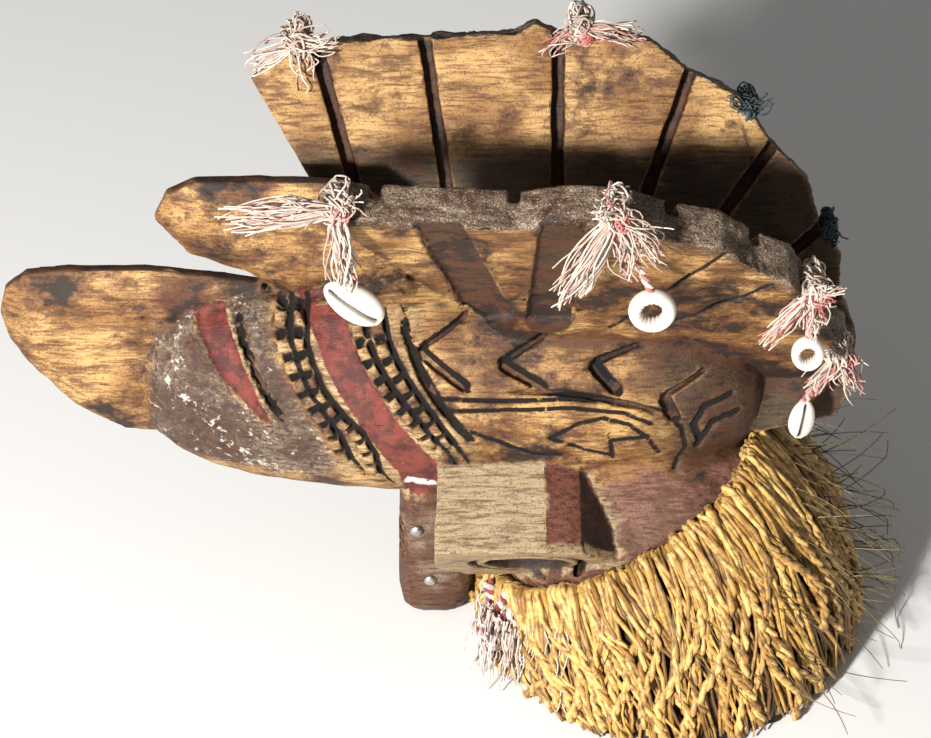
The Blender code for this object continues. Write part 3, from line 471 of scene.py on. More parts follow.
def carveHead():
    # The CAD's head, merged and remeshed fine enough for the knife work
    deselectAll()
    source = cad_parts["carved_head"]
    carved = bpy.data.objects.new("carvedHead", source.data.copy())
    bpy.context.scene.collection.objects.link(carved)
    pickOnly(carved)
    bpy.ops.object.mode_set(mode="EDIT")
    bpy.ops.mesh.select_all(action="SELECT")
    bpy.ops.mesh.remove_doubles(threshold=0.00002)
    bpy.ops.object.mode_set(mode="OBJECT")
    voxel = head["voxel"]
    applyModifier(carved, "REMESH", {"mode": "VOXEL", "voxel_size": voxel})
    triangles = 2 * len(carved.data.polygons)
    if triangles > head["decimatedTriangles"]:
        applyModifier(carved, "DECIMATE", {"ratio": head["decimatedTriangles"] / triangles})
    splitNearLines(carved)
    return carved


def splitNearLines(item):
    # The decimated faces are large where the wood is flat, so they are split near paint, cuts and arrises
    mesh = item.data
    bpy.context.tool_settings.mesh_select_mode = (False, True, False)
    for _ in range(7):
        places, normals, pairs = meshArrays(item)
        lengths = np.linalg.norm(places[pairs[:, 0]] - places[pairs[:, 1]], axis=1)
        field = placeFields(places[pairs].mean(axis=1) - np.array(headPlace), normals[pairs].mean(axis=1))
        near = np.abs(paintedDepths(field)).min(axis=0)
        near = np.where(field["crest"], np.minimum(near, np.abs(field["rimDepth"] - 0.0023)), near)
        near = np.where(field["ear"], np.minimum(near, 0.0012), near)
        tooLong = lengths > np.clip(head["edgeAtLines"] + 1.3 * near, 0.0014, head["edgeElsewhere"])
        if not tooLong.any():
            break
        pickOnly(item)
        mesh.vertices.foreach_set("select", np.zeros(len(mesh.vertices), bool))
        mesh.polygons.foreach_set("select", np.zeros(len(mesh.polygons), bool))
        mesh.edges.foreach_set("select", tooLong)
        bpy.ops.object.mode_set(mode="EDIT")
        bpy.ops.mesh.subdivide(number_cuts=1)
        bpy.ops.mesh.select_all(action="SELECT")
        bpy.ops.mesh.quads_convert_to_tris()
        bpy.ops.object.mode_set(mode="OBJECT")
    bpy.context.tool_settings.mesh_select_mode = (True, False, False)


def paintedDepths(field):
    # How deep each place lies inside the paint and the cuts of the flanks and crests
    xs, zs, egg = field["xs"], field["zs"], field["egg"]
    outside = np.full(xs.shape, -0.05)
    red = np.maximum(lineDepth(xs, zs, flank["redStripe"], flank["redStripeWidth"]),
                     lineDepth(xs, zs, flank["broadBand"], flank["broadBandWidth"]))
    pale = lineDepth(xs, zs, flank["paleDab"], flank["paleDabWidth"])
    # The cut lines and bead notches gathered here are later painted near black, as shade in the cuts
    dark = outside
    for row in flank["beadRows"]:
        behind = [(x + flank["beadGap"], z + 0.0006) for x, z in row]
        tail = (behind[-1][0] + flank["beadTail"][0], behind[-1][1] + flank["beadTail"][1])
        widths = [flank["beadGrooveWidth"]] * len(behind) + [0.0008]
        dark = np.maximum(dark, lineDepth(xs, zs, behind + [tail], widths))
    for line in flank["lensLines"]:
        dark = np.maximum(dark, lineDepth(xs, zs, line, flank["lensLineWidth"]))
    for line in flank["napeLines"]:
        dark = np.maximum(dark, lineDepth(xs, zs, line, flank["napeLineWidth"]))
    notch = beadNotches(xs, zs)
    cuts = [(line, flank["chevronWidths"]) for line in flank["chevrons"]]
    for line, widths in cuts + [(flank[name], flank["cutWidth"]) for name in ("eyeSlit", "bandGroove")]:
        dark = np.maximum(dark, np.where(egg < 0.995, lineDepth(xs, zs, line, widths), -0.05))
    dark = np.where(field["skin"], np.maximum(dark, notch * 0.7), -0.05)
    leaf = outside
    for line in crestCuts["leafEdges"]:
        leaf = np.maximum(leaf, lineDepth(xs, field["rise"], line, crestCuts["leafWidth"]))
    dark = np.maximum(dark, np.where(field["outerFace"], leaf, -0.05))
    strap = outside
    for lines, side in ((crestCuts["nearStraps"], -1), (crestCuts["farStraps"], 1)):
        for line in lines:
            depth = lineDepth(xs, field["rise"], line, crestCuts["strapWidth"])
            strap = np.maximum(strap, np.where(field["outerFace"] & (field["side"] == side), depth, -0.05))
    return np.where(field["skin"], red, -0.05), np.where(field["skin"], pale, -0.05), dark, notch, strap


def crustShare(field, red):
    # The crust on the snout stops at the first row of beads and above the jaw
    xs, zs = field["xs"], field["zs"]
    firstRow = np.array(flank["beadRows"][0])
    rowX = np.interp(zs, firstRow[::-1, 1], firstRow[::-1, 0])
    crust = field["skin"] * smooth(-0.002, 0.003, rowX - 0.0035 - xs)
    crust *= smooth(-0.036, -0.029, zs + 0.003 * np.sin(xs * 400))
    return crust * (1.0 - smooth(-0.0008, 0.0004, red) * 0.95), rowX


def carvedHeight(field, local, red, dark, notch, crust):
    # Knife work, in metres along the normal: facets, lumps, ridges beside the paint, ragged rims
    xs, zs, skin = field["xs"], field["zs"], field["skin"]
    fine = noiseAt(local, 0.0022, 1)
    facets = lumpAt(local, 0.0085, 3)
    height = (facets - 0.45) * 0.0007 + noiseAt(local, 0.016, 2) * 0.0003
    height += crust * ((0.55 - lumpAt(local, 0.0034, 4)) * 0.0011 + fine * 0.0006)
    height += field["rim"] * (fine * 0.0004 + noiseAt(local, 0.009, 5) * 0.0011)
    height -= 0.0007 * smooth(0.0, 0.0014, red)
    height += skin * 0.0009 * np.exp(-((red + 0.0010) / 0.0009) ** 2) * (xs < -0.06)
    height -= 0.0013 * smooth(-0.0004, 0.0008, dark) * (field["egg"] > 0.985)
    height -= skin * 0.0008 * smooth(-0.0002, 0.0005, notch)
    jaw = skin * smooth(-0.027, -0.031, zs) * (xs < -0.018) * (zs > -0.040)
    height -= jaw * 0.0009 * smooth(0.70, 0.95, np.sin((xs + 0.3 * zs) * 2 * math.pi / 0.0046))
    waves = np.sin(xs * 210 + field["rise"] * 160) * smooth(0.004, 0.02, field["rimDepth"])
    height += field["outerFace"] * 0.0005 * waves
    return height, jaw


def shapeAndTint(carved):
    places, normals, edges = meshArrays(carved)
    local = places - np.array(headPlace)
    field = placeFields(local, normals)
    xs, zs, skin = field["xs"], field["zs"], field["skin"]
    red, pale, dark, notch, strap = paintedDepths(field)
    crust, rowX = crustShare(field, red)
    height, jaw = carvedHeight(field, local, red, dark, notch, crust)
    shaped = places + normals * height[:, None]
    shaped[:, 2] = np.maximum(shaped[:, 2], 0.0)
    carved.data.vertices.foreach_set("co", shaped.astype(np.float32).ravel())
    carved.data.update()

    # Creases and hollows, darkened below as painted shade, and worn edges, from how far a place lies under
    # its neighbours
    mean = shaped
    for _ in range(5):
        mean = neighbourMean(mean, edges)
    places, normals, edges = meshArrays(carved)
    hollow = ((mean - shaped) * normals).sum(axis=1)
    lengths = np.linalg.norm(shaped[edges[:, 0]] - shaped[edges[:, 1]], axis=1)
    total = np.bincount(edges.ravel(), weights=np.repeat(lengths, 2), minlength=len(shaped))
    spacing = total / np.maximum(np.bincount(edges.ravel(), minlength=len(shaped)), 1)
    # Coarse places look more bent than they are
    hollow *= np.minimum(1.0, (head["fineEdge"] / np.maximum(spacing, 1e-5)) ** 2)
    creaseShade = smooth(0.00012, 0.00070, hollow)
    worn = smooth(0.00012, 0.00070, -hollow)
    occlusionShade = occlusionShadeShare(carved, places, normals)

    # Tones
    tones = {name: np.array(hexToLinear(code)[:3]) for name, code in woodTones.items()}
    patch = smooth(-0.35, 0.45, noiseAt(local, 0.020, 6))[:, None]
    colour = tones["ochre"] * (1 - patch) + tones["ochreLight"] * patch

    def tint(mask, toneA, toneB=None):
        nonlocal colour
        target = tones[toneA] if toneB is None else tones[toneA] * (1 - patch) + tones[toneB] * patch
        share = np.clip(mask.astype(float), 0.0, 1.0)[:, None]
        colour = colour * (1 - share) + target * share

    tint(field["innerFace"] * 0.6, "ochre", "ochreLight")
    # Painted shadow: the lower inner faces of the crests are darkened near black, for the near crest's shadow
    # falling on the far one
    tint(field["innerFace"] * smooth(0.090, 0.076, zs) * 0.90, "paintedShadeBlack")
    bands = skin * (xs > rowX - 0.002) * smooth(0.004, 0.0, xs - (rowX + 0.052))
    tint(bands * 0.8, "beadTan", "lip")
    rear = skin * smooth(0.0, 0.01, xs - (rowX + 0.054))
    lens = rear * smooth(0.0125, 0.0115, zs) * smooth(0.084, 0.079, xs)
    tint(rear * 0.5, "ochreDark", "ochre")
    tint(lens * 0.9, "ochre", "ochreLight")
    # Painted shadow: the rear of the flank, in the near crest's shadow, is darkened towards the nape
    tint(skin * smooth(0.060, 0.088, xs + 0.25 * zs) * 0.90, "shadowBrown")
    tint(crust, "crustBrown", "crustGrey")
    tint(jaw * 0.7, "ochre", "ochreLight")
    tint(skin * 0.8 * np.exp(-((red + 0.0012) / 0.0011) ** 2), "lip")
    tint(field["rim"], "rimDark", "rimGrey")
    tint(field["outerFace"] * smooth(0.0032, 0.0014, field["rimDepth"]), "rimDark", "rimGrey")
    # Darkens the tongue's upward-facing top edge
    tint(field["tongue"] * smooth(0.55, 0.85, normals[:, 2]), "strap")
    smear = np.hypot((xs + 0.106) / 0.013, (zs - 0.037) / 0.0075) + 0.35 * noiseAt(local, 0.004, 7)
    tint(field["tongue"] * smooth(1.15, 0.6, smear) * 0.85, "smearRed")
    tint(field["ear"], "earTan")
    # Painted shade by facing: the ear's facets turned away from the key light are darkened. The red-brown
    # facet is partly the wood's own tone and partly painted shade; the dark far facet is painted shade
    tint(field["ear"] * smooth(0.16, 0.28, normals[:, 0]), "earRed")
    tint(field["ear"] * smooth(0.50, 0.66, normals[:, 0]), "earShade")
    endFace = field["ear"] & (field["earAlong"] > head["earLength"] - 0.0035)
    ringMiddle = (head["ringInside"] + head["ringOutside"]) / 2
    ring = endFace * smooth(0.0022, 0.0012, np.abs(field["earOval"] - ringMiddle))
    # Painted shade inside the ear's bore and in the ring groove on its end face
    bore = field["ear"] * smooth(head["boreHalf"] + 0.0012, head["boreHalf"] + 0.0004, field["earOval"])
    tint(endFace, "earTan")
    tint(bore, "earShade", "strap")
    tint(ring, "paintedShadeBlack")
    tint(field["chin"], "chinBrown", "crustGrey")
    tint(field["neck"], "neckPink", "ochreDark")
    # Painted shade: the neck is darkened near its top, under the head
    tint(field["neck"] * smooth(-0.020, -0.004, zs) * 0.8, "shadowBrown")
    tint(smooth(-0.0004, 0.0003, strap) * 0.94, "strap")
    # Painted shadow: thin near-black lines along the edges of the straps
    tint(np.exp(-((strap + 0.0001) / 0.0007) ** 2) * 0.8, "paintedShadeBlack")
    # Painted shade: the notches and grooves cut into the crests' plates are darkened near black
    insidePlate = np.abs(field["offset"]) < head["crestHalf"] - 0.0030
    crestCut = field["crest"] & insidePlate & (field["rimDepth"] > 0.002)
    tint(crestCut * 0.85, "paintedShadeBlack")
    # Painted shade in creases and hollows
    tint(creaseShade * 0.9, "paintedShadeBlack")
    # Painted shade: places that the short rays find closed in are darkened near black
    tint(smooth(0.30, 0.85, occlusionShade) * 0.85, "paintedShadeBlack")
    tint(worn * 0.40 * (strap < 0.0) * (1 - field["rim"]) * (1 - 0.7 * field["ear"]), "ochreLight")

    # Real burn marks, plus painted shade where the short rays find the wood closed in
    burnAndShade = 0.30 + 0.30 * field["outerFace"] - 0.25 * field["innerFace"] + 0.20 * field["tongue"]
    burnAndShade += 0.6 * smooth(0.1, 0.6, occlusionShade) - 0.80 * field["ear"] - 0.30 * field["rim"]
    burnAndShade = burnAndShade * (1 - crust * 0.6)
    grainy = field["rim"] | (field["outerFace"] & (field["rimDepth"] < 0.0022))
    setNumbers(carved.data, "redDepth", red * 1000)
    setNumbers(carved.data, "paleDepth", pale * 1000)
    setNumbers(carved.data, "cutShadeDepth", dark * 1000)
    setNumbers(carved.data, "crust", crust)
    setNumbers(carved.data, "burnAndShade", burnAndShade)
    setNumbers(carved.data, "grainy", grainy.astype(float))
    setColours(carved.data, "tone", colour)


def setNumbers(mesh, name, values):
    layer = mesh.attributes.new(name, "FLOAT", "POINT")
    layer.data.foreach_set("value", values.astype(np.float32))


def setColours(mesh, name, values):
    layer = mesh.attributes.new(name, "FLOAT_COLOR", "POINT")
    full = np.ones((len(values), 4), np.float32)
    full[:, :3] = np.clip(values, 0.0, 1.0)
    layer.data.foreach_set("color", full.ravel())


# Noise in the wood's finish: scale, detail, roughness, and how it is stretched along the grain
woodNoise = {
    "grain": (90.0, 8.0, 0.70, (1.0, 9.0, 9.0)),  # fibres about 1 mm apart and a centimetre long
    "streaks": (30.0, 10.0, 0.78, (1.0, 4.5, 4.5)),  # darker growth bands, a few millimetres apart
    "fleck": (1100.0, 4.0, 0.75, (1.0, 1.0, 1.0)),  # pores and dust, just under a millimetre
    "scorch": (34.0, 10.0, 0.74, (1.0, 1.4, 1.4)),  # burnt clouds of 1 to 3 cm
    "splash": (330.0, 6.0, 0.70, (1.0, 1.0, 1.0)),  # splashes of 1 to 4 mm
    "drift": (75.0, 3.0, 0.50, (1.0, 1.0, 1.0)),  # splashes gather in patches of about 1 cm
    "pits": (520.0, 4.0, 0.65, (1.0, 1.0, 1.0)),
    "dots": (1500.0, 2.0, 0.50, (1.0, 1.0, 1.0)),  # fibre ends on the rims, coarse enough to show
    "ragged": (420.0, 5.0, 0.70, (1.0, 1.0, 1.0)),  # the broken edge of the paint
    "redPatch": (160.0, 6.0, 0.70, (1.0, 1.0, 1.0)),
}


def carvedWoodMaterial():
    # Light hardwood, cut with a knife, scorched, rubbed with oil and partly painted:
    # a satin face with dry cuts, painted near black as shade
    made, tree, shader, position = startMaterial("scorchedCarvedHardwood")
    numbers = {}
    for name in ("redDepth", "paleDepth", "cutShadeDepth", "crust", "burnAndShade", "grainy"):
        numbers[name] = addNode(tree, "ShaderNodeAttribute", {"attribute_name": name}, "Fac")
    clouds = {}
    for name, (scale, detail, rough, stretch) in woodNoise.items():
        turned = addNode(tree, "ShaderNodeMapping", {"Scale": stretch, "Vector": position})
        clouds[name] = addNode(tree, "ShaderNodeTexNoise", {"Scale": scale, "Detail": detail,
                               "Roughness": rough, "Vector": turned}, "Fac")

    # Sums: each is one thing times a number, plus another
    sums = [
        # The first two sums darken the streaks and scorch clouds with real burn marks and painted shade
        ("streaks", numbers["burnAndShade"], 0.08, "streaks"),
        ("scorch", numbers["burnAndShade"], 0.13, "scorch"),
        ("scorch", clouds["grain"], 0.16, "scorch"),
        ("splashes", clouds["drift"], 0.45, "splash"),
    ]
    for name, first, times, second in sums:
        clouds[name] = addNode(tree, "ShaderNodeMath", {"operation": "MULTIPLY_ADD", 0: first, 1: times,
                               2: clouds[second]})
    edge = addNode(tree, "ShaderNodeMath", {"operation": "MULTIPLY_ADD", 0: clouds["ragged"], 1: 3.2,
                   2: -1.6})
    inRed = addNode(tree, "ShaderNodeMath", {"operation": "ADD", 0: numbers["redDepth"], 1: edge})
    inPale = addNode(tree, "ShaderNodeMath", {"operation": "ADD", 0: numbers["paleDepth"], 1: edge})
    inCut = addNode(tree, "ShaderNodeMath", {"operation": "MULTIPLY_ADD", 0: edge, 1: 0.22,
                    2: numbers["cutShadeDepth"]})

    tone = addNode(tree, "ShaderNodeAttribute", {"attribute_name": "tone"}, "Color")
    grainTone = layColours(tree, hexToLinear("#8F7254"), [(clouds["grain"], 0.36, 0.56, 1.0, "#FFFFFF")])
    colour = addNode(tree, "ShaderNodeMix", {"data_type": "RGBA", "blend_type": "MULTIPLY", 0: 0.9,
                     6: tone, 7: grainTone}, 2)
    colour = layColours(tree, colour, [
        (clouds["streaks"], 0.54, 0.61, 0.72, "#4F2D14"),
        (clouds["fleck"], 0.53, 0.64, 0.70, "#2E180D"),
        (clouds["fleck"], 0.40, 0.30, 0.16, "#D9B878"),
        (clouds["scorch"], 0.61, 0.69, 0.75, "#4E2A12"),
        (clouds["scorch"], 0.68, 0.74, 0.92, "#1D110A"),
    ])

    # Crust on the snout: grey-white splashes and brown pits
    crusty = layColours(tree, colour, [
        (clouds["pits"], 0.50, 0.62, 1.0, "#3F2C28"),
        (clouds["splashes"], 0.81, 0.895, 0.85, "#C6BDB0"),
        (clouds["splashes"], 0.665, 0.585, 0.75, "#33231C"),
    ])
    colour = addNode(tree, "ShaderNodeMix", {"data_type": "RGBA", 0: numbers["crust"], 6: colour,
                     7: crusty}, 2)

    # End wood of the rims: grey with fine dark and pale dots
    grainy = layColours(tree, colour, [
        (clouds["dots"], 0.60, 0.35, 0.70, "#33261E"),
        (clouds["dots"], 0.58, 0.72, 0.55, "#BFA98C"),
    ])
    colour = addNode(tree, "ShaderNodeMix", {"data_type": "RGBA", 0: numbers["grainy"], 6: colour,
                     7: grainy}, 2)

    # Red earth paint, dusty, with a broken edge, then the pale dab and the knife cuts painted near black as
    # shade
    redPaint = layColours(tree, hexToLinear("#461613"), [
        (clouds["redPatch"], 0.42, 0.58, 1.0, "#732B23"),
        (clouds["fleck"], 0.56, 0.68, 0.6, "#4A1815"),
        (clouds["splash"], 0.62, 0.72, 0.4, "#C08478"),
    ])
    redShare = addNode(tree, "ShaderNodeMapRange", {"interpolation_type": "SMOOTHSTEP", "Value": inRed,
                       "From Min": -0.25, "From Max": 0.25, "To Max": 0.93})
    colour = addNode(tree, "ShaderNodeMix", {"data_type": "RGBA", 0: redShare, 6: colour, 7: redPaint}, 2)
    colour = layColours(tree, colour, [
        (inPale, -0.6, 0.8, 0.9, "#DDD6D2"),
        (inCut, -0.15, 0.15, 0.95, "#0D0805"),
    ])
    tree.links.new(colour, shader.inputs["Base Color"])

    gloss = addNode(tree, "ShaderNodeMapRange", {"interpolation_type": "SMOOTHSTEP",
                    "Value": clouds["splash"], "From Min": 0.50, "From Max": 0.68, "To Min": 0.55,
                    "To Max": 0.33})
    cutShare = addNode(tree, "ShaderNodeMapRange", {"interpolation_type": "SMOOTHSTEP", "Value": inCut,
                       "From Min": -0.15, "From Max": 0.15})
    rough = addNode(tree, "ShaderNodeMix", {"data_type": "FLOAT", 0: numbers["crust"], 2: 0.60, 3: gloss})
    rough = addNode(tree, "ShaderNodeMix", {"data_type": "FLOAT", 0: cutShare, 2: rough, 3: 0.95})
    tree.links.new(rough, shader.inputs["Roughness"])
    shader.inputs["IOR"].default_value = 1.45

    # Relief from the same grain, pores, splashes and dots
    relief = addNode(tree, "ShaderNodeMath", {"operation": "MULTIPLY", 0: clouds["grain"], 1: 0.5})
    relief = addNode(tree, "ShaderNodeMath", {"operation": "MULTIPLY_ADD", 0: clouds["fleck"], 1: 0.35,
                     2: relief})
    for mask, cloud, times in (("crust", "splash", 0.9), ("grainy", "dots", 0.7)):
        part = addNode(tree, "ShaderNodeMath", {"operation": "MULTIPLY", 0: clouds[cloud], 1: times})
        relief = addNode(tree, "ShaderNodeMath", {"operation": "MULTIPLY_ADD", 0: numbers[mask], 1: part,
                         2: relief})
    bump = addNode(tree, "ShaderNodeBump", {"Strength": 0.9, "Distance": 0.0009, "Height": relief})
    tree.links.new(bump, shader.inputs["Normal"])
    return made


carvedHead = carveHead()
shapeAndTint(carvedHead)
pickOnly(carvedHead)
bpy.ops.object.shade_smooth()
finishPiece(carvedHead, "carvedHead", carvedWoodMaterial(), ["carved_head"])
print("carved head:", len(carvedHead.data.polygons), "faces")


# Strands: raffia, cotton and cord are curves with a round bevel, made into meshes

def strandPiece(name, routes, radius, sides, material, nodes=(), cyclic=False):
    # One piece out of many routes. A route is a list of places and the share of the radius at each
    deselectAll()
    shape = bpy.data.curves.new(name, "CURVE")
    shape.dimensions = "3D"
    shape.bevel_depth = radius
    shape.bevel_resolution = sides
    shape.use_fill_caps = not cyclic
    for route in routes:
        spline = shape.splines.new("POLY")
        spline.points.add(len(route) - 1)
        for point, (place, share) in zip(spline.points, route):
            point.co = (place[0], place[1], place[2], 1.0)
            point.radius = share
        spline.use_cyclic_u = cyclic
    item = bpy.data.objects.new(name, shape)
    bpy.context.scene.collection.objects.link(item)
    pickOnly(item)
    bpy.ops.object.convert(target="MESH")
    item = bpy.context.object
    bpy.ops.object.mode_set(mode="EDIT")
    bpy.ops.mesh.select_all(action="SELECT")
    bpy.ops.mesh.remove_doubles(threshold=0.000002)
    bpy.ops.mesh.normals_make_consistent(inside=False)
    bpy.ops.object.mode_set(mode="OBJECT")
    bpy.ops.object.shade_smooth()
    return finishPiece(item, name, material, nodes)


def fibreMaterial(name, dark, light, extra, roughness, sheen):
    # Each strand has a tone of its own between two colours, with worn patches of a third
    made, tree, shader, position = startMaterial(name)
    strand = addNode(tree, "ShaderNodeNewGeometry", {}, "Random Per Island")
    patches = addNode(tree, "ShaderNodeTexNoise", {"Scale": 260.0, "Detail": 5.0, "Roughness": 0.7,
                      "Vector": position}, "Fac")
    colour = addNode(tree, "ShaderNodeMix", {"data_type": "RGBA", 0: strand, 6: hexToLinear(dark),
                     7: hexToLinear(light)}, 2)
    share = addNode(tree, "ShaderNodeMapRange", {"Value": patches, "From Min": 0.45, "From Max": 0.65,
                    "To Max": 0.75})
    colour = addNode(tree, "ShaderNodeMix", {"data_type": "RGBA", 0: share, 6: colour,
                     7: hexToLinear(extra)}, 2)
    tree.links.new(colour, shader.inputs["Base Color"])
    shader.inputs["Roughness"].default_value = roughness
    shader.inputs["Sheen Weight"].default_value = sheen
    fibre = addNode(tree, "ShaderNodeTexNoise", {"Scale": 1400.0, "Detail": 3.0, "Vector": position}, "Fac")
    bump = addNode(tree, "ShaderNodeBump", {"Strength": 0.6, "Distance": 0.0003, "Height": fibre})
    tree.links.new(bump, shader.inputs["Normal"])
    return made


# Raffia ruff

ruff = {
    "rimX": 0.0655, "rimZ": -0.0620, "lean": math.radians(30.3),
    "rimLong": 0.0560, "rimWide": 0.0500, "square": 0.80,
    "collar": 0.0055, "gap": 0.0003, "top": 0.0010,
    "footX": 0.0815, "footLong": 0.0750, "footWide": 0.0900, "bulge": 0.0085, "bulgeSide": 0.65,
    "ground": -0.115,
    "strands": 600, "ropes": 150, "strays": 130, "paleFibres": 70,
    "strandRadius": 0.00100, "ropeRadius": 0.00105, "ropeTwist": 0.0140, "strayRadius": 0.00032,
    "points": 11, "ropePoints": 26,
}


def rimPlace(turn, above, reach):
    # A place round the neck, at a distance above its rim and out from its side
    lean = ruff["lean"]
    axis = Vector((-math.sin(lean), 0.0, math.cos(lean)))
    front = Vector((math.cos(lean), 0.0, math.sin(lean)))
    ahead = math.copysign(abs(math.cos(turn)) ** ruff["square"], math.cos(turn))
    aside = math.copysign(abs(math.sin(turn)) ** ruff["square"], math.sin(turn))
    place = headPlace + Vector((ruff["rimX"], 0.0, ruff["rimZ"])) + axis * above
    place += front * ((ruff["rimLong"] + reach) * ahead)
    return place + Vector((0.0, (ruff["rimWide"] + reach) * aside, 0.0))


def ruffPlace(turn, share, out):
    # A place on the ruff's outer side, between the cord and the ground
    top = rimPlace(turn, ruff["top"], ruff["gap"] + ruff["collar"])
    low = headPlace + Vector((ruff["footX"] + ruff["footLong"] * math.cos(turn),
                              ruff["footWide"] * math.sin(turn), ruff["ground"]))
    away = Vector((math.cos(turn), math.sin(turn), 0.0))
    fullness = ruff["bulgeSide"] + (1 - ruff["bulgeSide"]) * math.cos(turn)
    bulge = ruff["bulge"] * math.sin(math.pi * share) * fullness
    return top * (1 - share) + low * share + away * (bulge + out)


def loopRise(turn):
    # How far above the cord the strands start: high behind and under the ears, low at the chin
    behind = max(0.0, math.cos(turn))
    beside = abs(math.sin(turn))
    return 0.0045 + 0.0065 * beside ** 0.7 + 0.0110 * behind ** 1.2


def raffiaLine(rng, turn, points, outLow, outHigh, wander, endLow):
    # The route of one strand: up from under the cord, over it, and down the ruff
    rise = loopRise(turn) * rng.uniform(0.55, 1.0)
    out = rng.uniform(outLow, outHigh)
    end = rng.uniform(endLow, 1.0)
    slide = rng.gauss(0.0, wander)
    sway, phase = rng.uniform(0.3, 1.0) * wander * 0.5, rng.uniform(0.0, 2 * math.pi)
    underCord = rimPlace(turn, 0.0030 + rise * 0.4, 0.0012)
    crown = rimPlace(turn, 0.0040 + rise, 0.0045)
    shoulder = rimPlace(turn, 0.0020 + rise * 0.5, 0.0095)
    route = []
    for i in range(points):
        t = i / (points - 1)
        place = ruffPlace(turn + slide * t + sway * math.sin(phase + 6 * t), t * end, out * min(1.0, 3 * t))
        if t < 0.24:
            u = t / 0.24
            start = underCord.lerp(crown, min(1.0, 2 * u)).lerp(shoulder, max(0.0, 2 * u - 1))
            place = start.lerp(place, u * u)
        place.z = max(place.z, 0.0014)
        route.append(place)
    return route


def strandRoutes(count, seed):
    rng = random.Random(seed)
    routes = []
    for k in range(count):
        turn = 2 * math.pi * (k + rng.random()) / count
        line = raffiaLine(rng, turn, ruff["points"], -0.0034, 0.0024, 0.15, 0.90)
        thick = rng.uniform(0.55, 1.25)
        routes.append([(place, thick * (1.0 - 0.35 * i / len(line))) for i, place in enumerate(line)])
    return routes


def ropeRoutes(count, seed):
    # Pairs of strands twisted round each other
    rng = random.Random(seed)
    routes = []
    for k in range(count):
        turn = 2 * math.pi * (k + rng.random()) / count
        line = raffiaLine(rng, turn, ruff["ropePoints"], -0.0010, 0.0034, 0.17, 0.62)
        length = sum((b - a).length for a, b in zip(line, line[1:]))
        turns = length / ruff["ropeTwist"]
        thick, start = rng.uniform(0.8, 1.25), rng.uniform(0.0, 2 * math.pi)
        away = Vector((math.cos(turn), math.sin(turn), 0.25)).normalized()
        aside = Vector((-math.sin(turn), math.cos(turn), 0.0))
        for ply in (0, 1):
            route = []
            for i, place in enumerate(line):
                twist = start + 2 * math.pi * (turns * i / len(line) + ply / 2)
                offset = away * math.cos(twist) + aside * math.sin(twist)
                point = place + offset * ruff["ropeRadius"] * thick * 0.9
                point.z = max(point.z, 0.0012)
                route.append((point, thick))
            routes.append(route)
    return routes


def strayRoutes(count, seed):
    # Loose thin strands that stand out of the ruff, mostly behind
    rng = random.Random(seed)
    low, high = cadBox
    routes = []
    for _ in range(count):
        turn = rng.gauss(-0.15, 0.55)
        share = rng.uniform(0.05, 0.85)
        start = ruffPlace(turn, share, -0.001)
        away = Vector((math.cos(turn), math.sin(turn) - 0.1, rng.uniform(-0.6, 0.45))).normalized()
        length = rng.uniform(0.012, 0.044)
        aside = Vector((-away.y, away.x, 0.0)) * rng.uniform(-0.5, 0.5)
        droop = Vector((0.0, 0.0, rng.uniform(-0.5, 0.25)))
        route = []
        for i in range(10):
            t = i / 9
            place = start + (away * t + (aside + droop) * t * t) * length
            place.x = min(place.x, high.x + 0.0140 - 0.002 * (1 - t))
            place.y = max(min(place.y, high.y + 0.0100), low.y - 0.0100)
            place.z = max(place.z, 0.0006)
            route.append((place, 1.0 - 0.5 * t))
        routes.append(route)
    return routes


def paleFibreRoutes(count, seed):
    # Limp whitish fibres that hang at the ruff's front
    rng = random.Random(seed)
    routes = []
    for _ in range(count):
        turn = math.pi + rng.uniform(0.15, 1.15)
        end = rng.uniform(0.5, 0.98)
        out = rng.uniform(0.0015, 0.0042)
        drift, phase = rng.uniform(-0.16, 0.05), rng.uniform(0.0, 6.0)
        route = []
        for i in range(12):
            t = i / 11
            place = ruffPlace(turn + drift * t + 0.03 * math.sin(phase + 7 * t), t * end, out)
            place.z = max(place.z, 0.0008)
            route.append((place, 1.0 - 0.4 * t))
        routes.append(route)
    return routes


